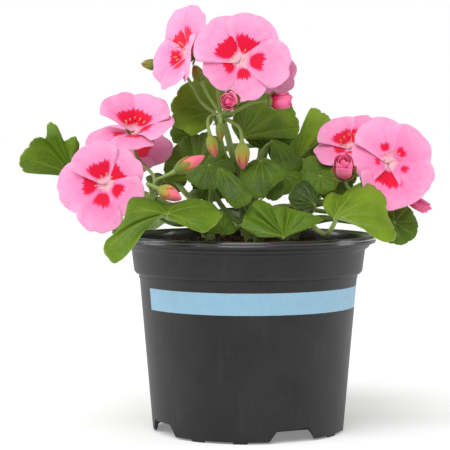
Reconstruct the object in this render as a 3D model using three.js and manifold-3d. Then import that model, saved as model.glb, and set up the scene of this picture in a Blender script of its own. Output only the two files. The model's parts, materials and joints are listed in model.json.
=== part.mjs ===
// A zonal geranium in flower, growing in a round moulded nursery pot.
// Millimetres, +Z up. The origin is on the ground under the middle of the pot, and -Y is the front.
//
// Everything that grew is a closed grid: rows of points with the same number of columns, running from
// one pole, over the blade or petals, down the stalk, to the pole at the stalk's cut end.
import * as THREE from "three";
import { mergeVertices } from "three/addons/utils/BufferGeometryUtils.js";
import Module from "manifold-3d";

const wasm = await Module();
wasm.setup();

// ---------------------------------------------------------------- driving dimensions

const GAP = 0.35; // clearance between pieces that touch

const POT = {
  height: 96,
  lipRadius: 62.5,
  collarRadius: 57,
  bodyTopRadius: 53.2,
  footRadius: 46.8,
  wall: 1.2,
  lipDepth: 3.8,
  collarDrop: 19.1, // from the rim down to where the collar steps in
  floorLift: 5, // clear height under the floor
  hubRadius: 18, // the middle of the floor, which stands on the ground
  segments: 44,
};
const NOTCH = { count: 4, first: -62.5, height: 6.6, footWidth: 27, topWidth: 17 };
const PAD = { spread: 13, width: 7, height: 0.8 };
const DRAIN = { radius: 3.5, circle: 31 };

const MIX = { edgeDrop: 8, crownDrop: 3.5, columns: 32 };

const BLADE = { thickness: 0.8, columns: 14, edgeColumns: 20, rings: [0.36, 0.72, 1] };
const NOTCH_STEP = 2.6; // from the middle of a folded leaf to its notch
const PETIOLE = { top: 1.05, foot: 1.45 };
const PETAL = { thickness: 0.7, rings: [0.17, 0.62, 1], notch: 0.84 };
const PEDICEL = { top: 0.75, foot: 0.85 };
const STALK_STEPS = 4;

const COLOURS = {
  pot: 0x26262a,
  mix: 0x2c1f16,
  stem: 0x6f9038,
  leaf: 0x4f7d22,
  petal: 0xf985bd,
  bud: 0xd98a6a,
};

// ---------------------------------------------------------------- the plant's plan
// at: where the stalk meets the blade, petals or bud. Directions are [x, y, z] and needn't be unit length.

const STEMS = {
  stem_middle: { foot: [1, 4, 80], top: [-3, 5, 130], radius: 3.9 },
  stem_left: { foot: [-15, 2, 80], top: [-27, 0, 117], radius: 3.3 },
  stem_right: { foot: [17, 4, 80], top: [30, 5, 119], radius: 3.4 },
  stem_back: { foot: [3, 22, 80], top: [2, 33, 122], radius: 3.3 },
  stem_front: { foot: [3, -14, 80], top: [7, -20, 108], radius: 3.0 },
};

// face: the way the upper side looks. tip: the way the midrib runs. open: half the angle left bare at the
// notch, in degrees. Fold, cup, roll and droop are shares of the radius; a negative one falls away from the
// face. stalk: the way the stalk sets off. from: the stem, and how far up it the stalk leaves.
// A folded leaf has an edge instead: points round its margin, as steps from its middle in mm, and an arch,
// the rise of the blade between its middle and that margin as a share of the distance.
const LEAVES = {
  leaf_far_left: {
    at: [-88, 23, 124.5], tip: [-0.5, 0.3, 0.82], face: [-0.1, -0.85, 0.5], arch: 0.03,
    edge: [
      [4, -3, 11], [4, -7, 17], [1, -9, 20], [-3, -5, 17], [-6, 1, 20], [-8, -3, 25], [-13, 1, 26],
      [-14, 3, 19], [-18, -3, 19], [-23, -7, 14], [-26, -9, 8], [-26, -7, 2], [-20, -5, 0], [-9, -2, -1],
    ],
    stalk: [0.7, 0.3, -0.6], from: ["stem_left", 0.6],
  },
  leaf_front_left: {
    at: [-37, -62, 108.5], tip: [0.25, 0.8, 0.3], face: [-0.1, -0.4, 0.9], arch: 0.1,
    edge: [
      [8, -9, -6], [14, -10, -8], [21, -6, -6], [26, 2, -1], [23, 12, 3], [16, 21, 6], [8, 24, 5],
      [-2, 19, 3], [-13, 16, 7], [-18, 10, 6], [-20, -2, -1], [-24, -7, -8], [-29, -6, -13],
      [-28, -9, -18], [-23, -11, -22], [-17, -14, -16], [-13, -14, -11], [-7, -10, -5],
    ],
    stalk: [0.45, 0.8, -0.2], from: ["stem_left", 0.5],
  },
  leaf_front_right: {
    at: [39.8, -47, 106], tip: [0.82, 0.5, 0.2], face: [-0.1, -0.6, 0.8], arch: 0.08,
    edge: [
      [10, -9, -1], [16, -10, -5], [22, -10, -10], [27, -8, -10], [29, -3, -5], [26, 4, 2],
      [25, 13, 10], [18, 20, 15], [12, 22, 16], [6, 20, 12], [0, 18, 12], [-5, 11, 8], [-6, 5, 4],
    ],
    stalk: [-0.28, 0.05, -0.95], from: ["stem_right", 0.5],
  },
  leaf_front_middle: {
    at: [16.5, -48.5, 97.3], tip: [-0.2, 0.38, 0.9], face: [0.1, -0.85, 0.5], arch: 0.05,
    edge: [
      [21, -2, 7], [15, 6, 10], [8, 4, 12], [3, 12, 14], [-4, 7, 14], [-10, 14, 17], [-15, 8, 16],
      [-18, 11, 11], [-20, 3, 5], [-21, 2, 0],
    ],
    stalk: [-0.1, 0.95, 0], from: ["stem_front", 0.62],
  },
  leaf_low_middle: {
    at: [-12, -35, 98], tip: [-0.1, 0.4, 0.9], face: [0.1, -0.88, 0.45], arch: 0.1,
    edge: [[6, -1, -1], [6, 2, 4], [1, 6, 9], [-3, 8, 11], [-8, 5, 10], [-11, -1, 5], [-11, -4, 0]],
    stalk: [0.2, 0.9, 0.1], from: ["stem_front", 0.72],
  },
  leaf_small_dark: {
    at: [31.5, -27, 111.5], tip: [-0.7, 0.25, 0.68], face: [0.1, -0.75, 0.65], arch: 0.06,
    edge: [
      [3, 3, 3], [-1, 7, 9], [-5, 9, 12], [-9, 7, 10], [-12, 4, 6], [-13, 1, 3], [-10, -6, -1],
      [-4, -6, -2],
    ],
    stalk: [0, 0.8, -0.5], from: ["stem_right", 0.62],
  },
  leaf_top_left: {
    at: [-16.5, 8, 156], tip: [-0.75, 0.25, 0.6], face: [0.1, -0.85, 0.5], radius: 21.5, open: 70,
    fold: 0.08, droop: 0.1, from: ["stem_middle", 0.97],
  },
  leaf_top_right: {
    at: [-3.5, 13, 143], tip: [0.7, 0.35, 0.6], face: [0, -0.88, 0.48], arch: 0.05,
    edge: [
      [8, -1, -2], [15, -1, -1], [22, -1, -1], [28, 1, 1], [29, 4, 7], [27, 7, 14], [24, 11, 20],
      [19, 14, 25], [10, 15, 27], [3, 14, 25], [-2, 11, 20], [-4, 7, 13], [-5, 3, 5],
    ],
    stalk: [-0.2, 0.7, -0.7], from: ["stem_middle", 0.85],
  },
  leaf_right_upper: {
    at: [25, 22, 131.5], tip: [0.35, 0.3, 0.92], face: [-0.5, -0.8, 0.3], arch: 0.08,
    edge: [
      [5, -2, 3], [9, -3, 8], [12, -3, 12], [15, -4, 15], [17, -4, 18], [15, -1, 23], [11, 3, 26],
      [7, 6, 27], [5, 6, 24], [3, 5, 19], [1, 5, 15], [-3, 6, 11], [-5, 5, 6],
    ],
    from: ["stem_right", 0.98],
  },
  leaf_right_back: {
    at: [43, 32, 127], tip: [0.1, 0.2, 0.97], face: [0, -0.95, 0.3], radius: 20, open: 70,
    fold: 0.1, droop: 0.1, from: ["stem_right", 0.8],
  },
  leaf_dark_right: {
    at: [11.5, 0, 141.5], tip: [0.6, -0.3, -0.75], face: [0.3, -0.75, 0.55], arch: 0.08,
    edge: [
      [-1, -3, -4], [0, -7, -9], [3, -9, -14], [7, -9, -16], [11, -6, -15], [14, -2, -11],
      [13, 0, -7], [10, 1, -4], [6, 2, -1],
    ],
    from: ["stem_middle", 0.93],
  },
  leaf_lower_right: {
    at: [16, -12, 125], tip: [0.4, -0.6, -0.7], face: [0.2, -0.7, 0.65], arch: 0.08,
    edge: [
      [-3, -2, -1], [-6, -6, -5], [-7, -10, -8], [-4, -10, -10], [1, -8, -8], [4, -5, -7],
      [6, -2, -4], [9, 1, -2], [9, 3, 1], [5, 3, 2],
    ],
    from: ["stem_middle", 0.68],
  },
  leaf_right_curl: {
    at: [31, -5, 124], tip: [0, 0.5, 0.85], face: [-0.1, -0.6, 0.8], radius: 12, open: 70,
    cup: 0.3, from: ["stem_right", 0.92],
  },
  leaf_middle_right: {
    at: [34.5, -15, 125], tip: [0.2, -0.4, -0.85], face: [0.1, -0.85, 0.5], radius: 9.5, open: 60,
    cup: -0.1, from: ["stem_right", 0.8],
  },
  leaf_centre_right: {
    at: [6, -18.5, 132.5], tip: [-0.1, -0.65, -0.75], face: [0.05, -0.75, 0.65], arch: 0.1,
    edge: [
      [-5, 0, 0], [-8, -1, -3], [-9, -6, -8], [-8, -11, -12], [-5, -13, -15], [-1, -14, -16],
      [3, -12, -14], [5, -9, -11], [8, -7, -9], [11, -4, -5], [7, -1, -1],
    ],
    from: ["stem_middle", 0.78],
  },
  leaf_centre: {
    at: [-13, -32, 128.5], tip: [0.35, -0.5, -0.8], face: [-0.1, -0.85, 0.55], arch: 0.1,
    edge: [
      [-2, -1, -1], [-2, -4, -6], [0, -7, -10], [3, -10, -14], [6, -11, -16], [10, -11, -15],
      [13, -9, -12], [13, -7, -9], [10, -5, -6], [7, -3, -3], [3, -1, -1],
    ],
    from: ["stem_middle", 0.55],
  },
  leaf_left_centre: {
    at: [-24.5, 4, 126], tip: [-0.35, 0.1, 0.93], face: [-0.5, -0.85, 0.2], radius: 20, open: 80,
    fold: 0.1, from: ["stem_middle", 0.45],
  },
  leaf_left_upper: {
    at: [-28, 19, 145], tip: [-0.8, 0.3, 0.5], face: [0, -0.8, 0.6], radius: 11, open: 60,
    fold: 0.1, from: ["stem_back", 0.97],
  },
  leaf_left_low: {
    at: [-41, 17, 124], tip: [0.1, -0.3, -0.9], face: [0, 0.92, 0.4], radius: 11, open: 70,
    stalk: [0.6, -0.5, 0.1], from: ["stem_left", 0.9],
  },
  leaf_dark_left: {
    at: [-17, 14, 124.5], tip: [0.1, -0.2, -0.97], face: [-0.2, -0.95, 0.2], radius: 13.5, open: 85,
    fold: 0.05, from: ["stem_back", 0.6],
  },
  leaf_right_low: {
    at: [70, -16, 102.5], tip: [0.9, -0.1, 0.2], face: [0.1, -0.85, 0.5], radius: 12, open: 40,
    cup: -0.1, stalk: [-0.8, 0.5, 0.2], from: ["stem_right", 0.55],
  },
  leaf_back_left: {
    at: [-46, 48, 103], tip: [-0.75, 0.6, 0.05], face: [-0.25, 0.2, 0.93], radius: 26, open: 25,
    fold: 0.05, roll: -0.1, droop: 0.15, from: ["stem_back", 0.5],
  },
  leaf_back: {
    at: [4, 64, 102], tip: [0.05, 0.95, 0.05], face: [0, 0.25, 0.95], radius: 27, open: 25,
    fold: 0.05, roll: -0.1, droop: 0.15, from: ["stem_back", 0.55],
  },
  leaf_back_right: {
    at: [54, 48, 110], tip: [0.75, 0.62, 0.05], face: [0.3, 0.15, 0.93], radius: 21, open: 25,
    fold: 0.05, roll: -0.1, droop: 0.15, from: ["stem_back", 0.6],
  },
  leaf_back_top: {
    at: [6, 52, 138], tip: [0.2, 0.85, 0.1], face: [0, -0.1, 0.95], radius: 22, open: 25,
    fold: 0.05, roll: -0.1, droop: 0.15, from: ["stem_back", 0.95],
  },
  leaf_right_side: {
    at: [62, 14, 106], tip: [0.93, 0.35, -0.1], face: [0.25, -0.1, 0.95], radius: 16, open: 25,
    fold: 0.05, roll: -0.1, droop: 0.15, from: ["stem_right", 0.62],
  },
  leaf_inner_right: {
    at: [9, 30, 137], tip: [0.6, 0.2, 0.75], face: [0, -0.93, 0.36], radius: 17, open: 70,
    fold: 0.08, from: ["stem_back", 0.85],
  },
  leaf_inner_left: {
    at: [-19, -8, 130], tip: [0.2, -0.4, -0.9], face: [-0.1, -0.9, 0.4], radius: 11.9, open: 75,
    fold: 0.08, from: ["stem_left", 0.7],
  },
  leaf_inner_low: {
    at: [40, 8, 126], tip: [0.3, -0.4, -0.85], face: [0.1, -0.9, 0.4], radius: 14, open: 75,
    fold: 0.08, from: ["stem_right", 0.7],
  },
};

// The stalk of each flower head, from a stem up to the knob that its flowers and buds spring from.
const FLOWER_STALKS = {
  flower_stalk_top: { knob: [-12.5, -10, 153], from: ["stem_middle", 0.97], bow: [0, -3, 0] },
  flower_stalk_left: { knob: [-46, -28, 115], from: ["stem_left", 0.7], bow: [0, -4, 2] },
  flower_stalk_right: { knob: [58, -3, 113], from: ["stem_right", 0.8], bow: [0, -2, 3] },
};
const KNOB_RADIUS = 2.6;

// face: the way the flower looks. up: from its middle to the gap between the two upper petals.
// lift: how far each of the five petals is raised towards the face, in degrees. reach: each petal's length,
// as a share of the radius. leave: the way the stalk starts out from the knob.
const FLOWERS = {
  flower_top_right: {
    at: [-4, -30, 179.5], face: [0.1, -0.96, 0.2], up: [-0.2, 0, 1], radius: 23,
    lift: [10, 10, 10, 10, 10], reach: [1, 0.8, 0.88, 1.04, 1], stalk: "flower_stalk_top",
  },
  flower_top_left: {
    at: [-29, -4, 184], face: [-0.85, -0.5, 0.1], up: [0.05, 0.1, 1], radius: 22.5,
    lift: [8, 28, 34, 28, 12], reach: [1.05, 1, 1, 1, 1.05], stalk: "flower_stalk_top",
  },
  flower_left_upper: {
    at: [-55.4, -6, 146], face: [0.05, -0.5, 0.86], up: [0, 0.8, 0.5], radius: 21,
    lift: [40, -8, 12, 24, 40], reach: [1, 1, 1, 1, 1], leave: [0.35, 0.2, 0.9], stalk: "flower_stalk_left",
  },
  flower_left_front: {
    at: [-67, -31, 121.5], face: [-0.1, -0.97, 0.12], up: [0.2, 0, 1], radius: 21.5,
    lift: [10, 10, 10, 10, 10], reach: [0.95, 1.08, 1.1, 0.9, 0.88], stalk: "flower_stalk_left",
  },
  flower_left_back: {
    at: [-59.7, 14, 134.8], face: [0, -0.6, 0.8], up: [-0.2, 0.8, 0.5], radius: 22.5,
    lift: [12, 12, 12, 12, 12], reach: [1, 1, 1, 1, 1], leave: [-0.5, 0.85, 0], stalk: "flower_stalk_left",
  },
  flower_right_front: {
    at: [68, -12, 131], face: [0.25, -0.85, 0.45], up: [0.25, 0.3, 1], radius: 22.5,
    lift: [16, 14, -6, 10, 16], reach: [1, 0.9, 1.12, 1, 1], stalk: "flower_stalk_right",
  },
  flower_right_back: {
    at: [50.5, 3, 138], face: [-0.3, -0.6, 0.75], up: [0.1, 0.8, 0.5], radius: 18.5,
    lift: [25, 20, 20, 20, 25], reach: [1, 1, 1, 1, 1], stalk: "flower_stalk_right",
  },
  flower_top_back: {
    at: [9, 4, 175], face: [0.35, 0.7, 0.55], up: [0.3, -0.5, 0.6], radius: 15,
    lift: [15, 15, 15, 15, 15], reach: [1, 1, 1, 1.1, 1], stalk: "flower_stalk_top",
  },
};

// axis: from the stalk to the tip.
const BUDS = {
  bud_opening_middle: {
    at: [-9, -46, 160.5], axis: [-0.2, -0.95, -0.1], length: 9, width: 9, stalk: "flower_stalk_top",
  },
  bud_opening_right: {
    at: [15, -25, 161], axis: [0.95, -0.25, 0.05], length: 12, width: 9, stalk: "flower_stalk_top",
  },
  bud_green: {
    at: [-13.2, -26, 146], axis: [0, 0, -1], length: 9, width: 4.2, leave: [-0.35, -0.85, -0.3],
    stalk: "flower_stalk_top",
  },
  bud_hanging_left: {
    at: [-17, -20, 139], axis: [0.25, -0.1, -1], length: 11, width: 5, leave: [-0.85, -0.4, 0.2],
    stalk: "flower_stalk_top",
  },
  bud_hanging_right: {
    at: [-2.7, -24, 134.5], axis: [0.05, 0, -1], length: 13, width: 6.5, leave: [0.55, -0.75, -0.35],
    stalk: "flower_stalk_top",
  },
  bud_upper: {
    at: [-24.5, -6, 174], axis: [-0.4, 0.1, 0.9], length: 9, width: 5.5, leave: [-0.5, -0.35, 0.8],
    stalk: "flower_stalk_top",
  },
  bud_far_left: {
    at: [-48.5, 14, 179], axis: [-0.95, 0, 0.1], length: 9, width: 5, leave: [-0.75, 0.6, 0.3],
    stalk: "flower_stalk_top",
  },
  bud_left_upper: {
    at: [-27.2, -48, 131.4], axis: [0.85, -0.1, 0.45], length: 16, width: 6.5, leave: [0.3, -0.3, 0.9],
    stalk: "flower_stalk_left",
  },
  bud_left_lower: {
    at: [-36, -52, 117.5], axis: [0.9, -0.2, -0.4], length: 12, width: 7, leave: [0.1, -0.85, 0.5],
    stalk: "flower_stalk_left",
  },
  bud_rose: {
    at: [45, -32, 129], axis: [-0.1, -0.78, 0.62], length: 14, width: 11, stalk: "flower_stalk_right",
  },
  bud_drooping: {
    at: [82, -5, 111.5], axis: [0.85, -0.3, -0.5], length: 15, width: 7, leave: [0.9, 0, 0.4],
    stalk: "flower_stalk_right",
  },
};

// ---------------------------------------------------------------- vectors

const vec = (a) => new THREE.Vector3(...a);
const unit = (a) => vec(a).normalize();
const sum = (...terms) => terms.reduce((total, [v, k]) => total.addScaledVector(v, k), new THREE.Vector3());
const across = (v, axis) => sum([v, 1], [axis, -v.dot(axis)]).normalize();
const radians = THREE.MathUtils.degToRad;

// Three directions at right angles: out along axis, and ahead as close to hint as it can be.
function frameOf(axis, hint) {
  const out = unit(axis);
  const ahead = across(unit(hint), out);
  return { out, ahead, side: out.clone().cross(ahead) };
}

// ---------------------------------------------------------------- closed grids

// Rows of equal length between two single points, as one closed surface with its faces pointing out.
function closedGrid(firstPole, rows, lastPole) {
  const columns = rows[0].length;
  const points = [firstPole, ...rows.flat(), lastPole];
  const corner = (row, column) => 1 + row * columns + (column % columns);
  const index = [];
  for (let c = 0; c < columns; c++) {
    index.push(0, corner(0, c), corner(0, c + 1));
    for (let r = 0; r + 1 < rows.length; r++) {
      index.push(corner(r, c), corner(r + 1, c), corner(r + 1, c + 1));
      index.push(corner(r, c), corner(r + 1, c + 1), corner(r, c + 1));
    }
    index.push(corner(rows.length - 1, c + 1), corner(rows.length - 1, c), points.length - 1);
  }
  const geometry = new THREE.BufferGeometry().setFromPoints(points);
  geometry.setIndex(index);
  geometry.computeVertexNormals();
  return geometry;
}

// One ring of a stalk. Its columns follow ahead and side, so that they line up with the row above.
function ring(centre, frame, radius, columns) {
  const points = [];
  for (let c = 0; c < columns; c++) {
    const a = Math.PI * 2 * (c / columns);
    points.push(sum([centre, 1], [frame.ahead, radius * Math.cos(a)], [frame.side, radius * Math.sin(a)]));
  }
  return points;
}

// Rings down a curve, from start to end. The curve runs away from the organ, so out is against it.
function stalkRings(curve, ahead, radii, columns) {
  const rows = [];
  let hint = ahead;
  for (let s = 0; s <= STALK_STEPS; s++) {
    const t = s / STALK_STEPS;
    const frame = frameOf(curve.getTangent(t).negate().toArray(), hint.toArray());
    hint = frame.ahead;
    rows.push(ring(curve.getPoint(t), frame, THREE.MathUtils.lerp(radii.top, radii.foot, t), columns));
  }
  return rows;
}

// ---------------------------------------------------------------- where stalks leave from

const stemAxis = (stem, share) => sum([vec(stem.foot), 1 - share], [vec(stem.top), share]);
const STEM_TAPER = 0.75; // the top's radius over the foot's

// The point just clear of a stem's side, facing towards target, and the way that a stalk leaves there.
function leaveStem([name, share], target, stalkRadius) {
  const stem = STEMS[name];
  const centre = stemAxis(stem, share);
  const up = sum([vec(stem.top), 1], [vec(stem.foot), -1]).normalize();
  const away = across(sum([target, 1], [centre, -1]), up);
  const leave = sum([away, 0.8], [up, 0.6]).normalize();
  const radius = stem.radius * THREE.MathUtils.lerp(1, STEM_TAPER, share);
  const reach = radius + GAP + stalkRadius * leave.dot(up);
  return { point: sum([centre, 1], [away, reach]), leave };
}

function leaveKnob(name, target, leave) {
  const centre = vec(FLOWER_STALKS[name].knob);
  const way = leave ? unit(leave) : sum([target, 1], [centre, -1]).normalize();
  return { point: sum([centre, 1], [way, KNOB_RADIUS + GAP]), leave: way };
}

// A smooth route from an organ, leaving it along way, back to where its stalk starts.
function route(start, way, root, slack = 0.34) {
  const length = start.distanceTo(root.point) * slack;
  return new THREE.CubicBezierCurve3(
    start, sum([start, 1], [way, length]), sum([root.point, 1], [root.leave, length]), root.point,
  );
}

// ---------------------------------------------------------------- organs

// The kidney outline of a blade: for each column, its angle from the midrib and its reach. Column 0 is the
// notch where the stalk joins, and the others run round from one side of the notch to the other.
function bladeOutline(column, open) {
  if (column === 0) return { angle: Math.PI, reach: 0.15 };
  const half = (BLADE.columns - 2) / 2;
  const share = (column - 1 - half) / half;
  return { angle: share * (Math.PI - radians(open)), reach: 1 - 0.2 * share ** 4 };
}

function bladePoint(leaf, frame, share, column) {
  const { cup = 0, fold = 0, roll = 0, droop = 0, radius } = leaf;
  const { angle, reach } = bladeOutline(column, leaf.open);
  const along = radius * reach * share * Math.cos(angle);
  const aside = radius * reach * share * Math.sin(angle);
  const height =
    (radius * cup * (along ** 2 + aside ** 2)) / radius ** 2 +
    fold * Math.abs(aside) +
    (roll * aside ** 2) / radius -
    (droop * Math.max(along, 0) ** 2) / radius;
  return sum([vec(leaf.at), 1], [frame.ahead, along], [frame.side, aside], [frame.out, height]);
}

// The points of a folded leaf's margin, evenly spaced. Its notch lies a short step back from the middle.
function marginOf(leaf, frame) {
  const curve = new THREE.CatmullRomCurve3(leaf.edge.map(vec));
  const points = curve.getSpacedPoints(BLADE.edgeColumns - 2);
  const notch = frame.ahead.clone().multiplyScalar(-NOTCH_STEP);
  return [notch, ...points];
}

function foldedPoint(leaf, frame, share, step) {
  const rise = leaf.arch * step.length() * 4 * share * (1 - share);
  return sum([vec(leaf.at), 1], [step, share], [frame.out, rise]);
}

function leafGeometry(leaf) {
  const frame = frameOf(leaf.face, leaf.tip);
  const margin = leaf.edge && marginOf(leaf, frame);
  const columns = margin ? BLADE.edgeColumns : BLADE.columns;
  const ringOf = (share, drop) => {
    const points = [];
    for (let c = 0; c < columns; c++) {
      const point = margin ? foldedPoint(leaf, frame, share, margin[c]) : bladePoint(leaf, frame, share, c);
      points.push(point.addScaledVector(frame.out, -drop));
    }
    return points;
  };
  const upper = BLADE.rings.map((share) => ringOf(share, 0));
  const under = BLADE.rings.map((share) => ringOf(share, BLADE.thickness)).reverse();
  const neck = sum([vec(leaf.at), 1], [frame.out, -BLADE.thickness - 1.2], [frame.ahead, 0.4]);
  const way = leaf.stalk ? unit(leaf.stalk) : sum([frame.out, -0.8], [frame.ahead, -0.6]).normalize();
  const root = leaveStem(leaf.from, neck, PETIOLE.foot);
  const curve = route(neck, way, root);
  const stalk = stalkRings(curve, frame.ahead.clone().negate(), PETIOLE, columns);
  return closedGrid(vec(leaf.at), [...upper, ...under, ...stalk], root.point);
}

const PETALS = 5;
const COLUMNS_PER_PETAL = 3; // the notch and two shoulders
const FLOWER_COLUMNS = PETALS * COLUMNS_PER_PETAL;

function flowerGeometry(flower) {
  const frame = frameOf(flower.face, flower.up);
  const ringOf = (share, drop) => {
    const points = [];
    for (let c = 0; c < FLOWER_COLUMNS; c++) {
      const petal = Math.floor(c / COLUMNS_PER_PETAL);
      const isNotch = c % COLUMNS_PER_PETAL === 0;
      const before = flower.lift[(petal + PETALS - 1) % PETALS];
      const lift = radians(isNotch ? (before + flower.lift[petal]) / 2 : flower.lift[petal]);
      const deepest = c === 0 ? 0.82 : 1; // the gap between the upper petals is the deepest
      const outline = isNotch && share === 1 ? PETAL.notch * deepest : 1;
      const a = Math.PI * 2 * (c / FLOWER_COLUMNS);
      const outward = sum([frame.ahead, Math.cos(a)], [frame.side, Math.sin(a)]);
      const reach = flower.radius * share * outline * flower.reach[petal];
      points.push(
        sum(
          [vec(flower.at), 1],
          [outward, reach * Math.cos(lift) + drop * Math.sin(lift)],
          [frame.out, reach * Math.sin(lift) - drop * Math.cos(lift)],
        ),
      );
    }
    return points;
  };
  const upper = PETAL.rings.map((share) => ringOf(share, 0));
  const under = PETAL.rings.map((share) => ringOf(share, PETAL.thickness)).reverse();
  const calyx = (depth, radius) =>
    ring(sum([vec(flower.at), 1], [frame.out, -depth]), frame, radius, FLOWER_COLUMNS);
  const neck = sum([vec(flower.at), 1], [frame.out, -8]);
  const root = leaveKnob(flower.stalk, neck, flower.leave);
  const curve = route(neck, frame.out.clone().negate(), root);
  const stalk = stalkRings(curve, frame.ahead, PEDICEL, FLOWER_COLUMNS);
  return closedGrid(vec(flower.at), [...upper, ...under, calyx(2.5, 2), calyx(6, 1.5), ...stalk], root.point);
}

const BUD_COLUMNS = 8;
// Distance back from the tip over the length, and radius over half the width.
const BUD_PROFILE = [[0.06, 0.3], [0.26, 0.8], [0.5, 1], [0.78, 0.85], [0.96, 0.45]];

function budGeometry(bud) {
  const frame = frameOf(bud.axis, [0.31, 0.87, 0.39]);
  const along = (share) => sum([vec(bud.at), 1], [frame.out, bud.length * (0.5 - share)]);
  const girth = ([back, wide]) => ring(along(back), frame, (wide * bud.width) / 2, BUD_COLUMNS);
  const body = BUD_PROFILE.map(girth);
  const neck = along(1.12);
  const root = leaveKnob(bud.stalk, neck, bud.leave);
  const curve = route(neck, frame.out.clone().negate(), root, 0.45);
  const stalk = stalkRings(curve, frame.ahead, PEDICEL, BUD_COLUMNS);
  return closedGrid(along(0), [...body, ...stalk], root.point);
}

const STEM_COLUMNS = 8;

function stemGeometry(stem) {
  const frame = frameOf(sum([vec(stem.top), 1], [vec(stem.foot), -1]).toArray(), [0, -1, 0]);
  const taper = (share) => stem.radius * THREE.MathUtils.lerp(1, STEM_TAPER, share);
  const rows = [0.97, 0.66, 0.33, 0].map((share) =>
    ring(stemAxis(stem, share), frame, taper(share), STEM_COLUMNS),
  );
  return closedGrid(vec(stem.top), rows, vec(stem.foot));
}

const FLOWER_STALK = { top: 1.4, foot: 1.8 };

function flowerStalkGeometry({ knob, from, bow }) {
  const centre = vec(knob);
  const root = leaveStem(from, centre, FLOWER_STALK.foot);
  const down = sum([root.point, 1], [centre, -1], [vec(bow), -1]).normalize();
  const start = sum([centre, 1], [down, KNOB_RADIUS]);
  const curve = route(start, down, root);
  const frame = frameOf(down.clone().negate().toArray(), [0, -1, 0.2]);
  const knobRings = [0.75, 0, -0.7].map((height) =>
    ring(
      sum([centre, 1], [frame.out, height * KNOB_RADIUS]), frame,
      KNOB_RADIUS * Math.sqrt(1 - height ** 2), STEM_COLUMNS,
    ),
  );
  const stalk = stalkRings(curve, frame.ahead, FLOWER_STALK, STEM_COLUMNS);
  return closedGrid(sum([centre, 1], [frame.out, KNOB_RADIUS]), [...knobRings, ...stalk], root.point);
}

// ---------------------------------------------------------------- joining and cutting

function toSolid(geometry) {
  const bare = geometry.clone();
  bare.deleteAttribute("normal");
  bare.deleteAttribute("uv");
  const merged = mergeVertices(bare, 1e-4);
  return new wasm.Manifold(
    new wasm.Mesh({
      numProp: 3,
      vertProperties: new Float32Array(merged.attributes.position.array),
      triVerts: new Uint32Array(merged.index.array),
    }),
  );
}

function toGeometry(solid) {
  const mesh = solid.getMesh();
  const geometry = new THREE.BufferGeometry();
  geometry.setAttribute("position", new THREE.BufferAttribute(mesh.vertProperties, 3));
  geometry.setIndex(new THREE.BufferAttribute(mesh.triVerts, 1));
  geometry.computeVertexNormals();
  return geometry;
}

// ---------------------------------------------------------------- the pot

// The wall in section: from the middle of the floor's underside, out, up the outside and down the inside.
function potProfile() {
  const { height: top, wall, footRadius, bodyTopRadius, collarRadius, lipRadius, hubRadius } = POT;
  const ledge = top - POT.collarDrop;
  const footZ = PAD.height;
  const floor = POT.floorLift;
  const points = [
    [0, 0], [hubRadius, 0], [hubRadius + 2, floor],
    [footRadius - 2.6, floor], [footRadius - 1.6, footZ], [footRadius, footZ],
    [bodyTopRadius, ledge], [collarRadius - 1.9, ledge + 0.7], [collarRadius - 1.2, ledge + 1.8],
    [collarRadius, top - 7], [collarRadius + 1.4, top - 6], [collarRadius + 1.7, top - POT.lipDepth],
    [lipRadius - 1, top - POT.lipDepth], [lipRadius, top - POT.lipDepth + 0.6],
    [lipRadius, top - 0.9], [lipRadius - 0.8, top], [collarRadius + 0.6, top],
    [collarRadius - 0.2, top - 5.4], [collarRadius - wall, top - 7],
    [collarRadius - 1.2 - wall, ledge + 2.4], [bodyTopRadius - wall, ledge + 0.8],
    [footRadius - wall, floor + 1], [hubRadius + 1.2, floor + 1], [hubRadius - 0.6, 1], [0, 1],
  ];
  return points.map(([r, z]) => new THREE.Vector2(r, z));
}

// LatheGeometry turns about Y, so each turned piece is stood up along Z.
function turned(points, segments) {
  return new THREE.LatheGeometry(points, segments).rotateX(Math.PI / 2);
}

// A wedge through the foot ring at one drain notch, and the hole in the floor behind it.
function notchCutter(degrees) {
  const half = { foot: NOTCH.footWidth / 2, top: NOTCH.topWidth / 2 };
  const outline = new THREE.Shape([
    new THREE.Vector2(-half.foot, -1), new THREE.Vector2(half.foot, -1),
    new THREE.Vector2(half.top, NOTCH.height), new THREE.Vector2(-half.top, NOTCH.height),
  ]);
  const slot = new THREE.ExtrudeGeometry(outline, { depth: 9, bevelEnabled: false });
  slot.rotateX(Math.PI / 2).translate(0, -(POT.footRadius - 4.5), 0).rotateZ(radians(degrees));
  const hole = new THREE.CylinderGeometry(DRAIN.radius, DRAIN.radius, 8, 16);
  hole.rotateX(Math.PI / 2).translate(0, -DRAIN.circle, POT.floorLift).rotateZ(radians(degrees));
  return toSolid(slot).add(toSolid(hole));
}

function footPad(degrees) {
  const pad = new THREE.BoxGeometry(PAD.width, 1.2, PAD.height + 0.4);
  pad.translate(0, -(POT.footRadius - 0.9), (PAD.height + 0.4) / 2).rotateZ(radians(degrees));
  return toSolid(pad);
}

function potGeometry() {
  let solid = toSolid(turned(potProfile(), POT.segments));
  for (let k = 0; k < NOTCH.count; k++) {
    const middle = NOTCH.first + (k * 360) / NOTCH.count;
    solid = solid.subtract(notchCutter(middle));
    const foot = middle + 180 / NOTCH.count;
    solid = solid.add(footPad(foot - PAD.spread)).add(footPad(foot + PAD.spread));
  }
  return toGeometry(solid);
}

// ---------------------------------------------------------------- the potting mix

// The heaped surface, by distance from the middle: highest at the crown, and lowest by the wall.
function mixHeight(radius) {
  const share = Math.min(radius / (POT.bodyTopRadius - POT.wall), 1);
  const edge = POT.height - MIX.edgeDrop;
  return edge + (MIX.edgeDrop - MIX.crownDrop) * (1 - share ** 2) ** 0.8;
}

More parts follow.
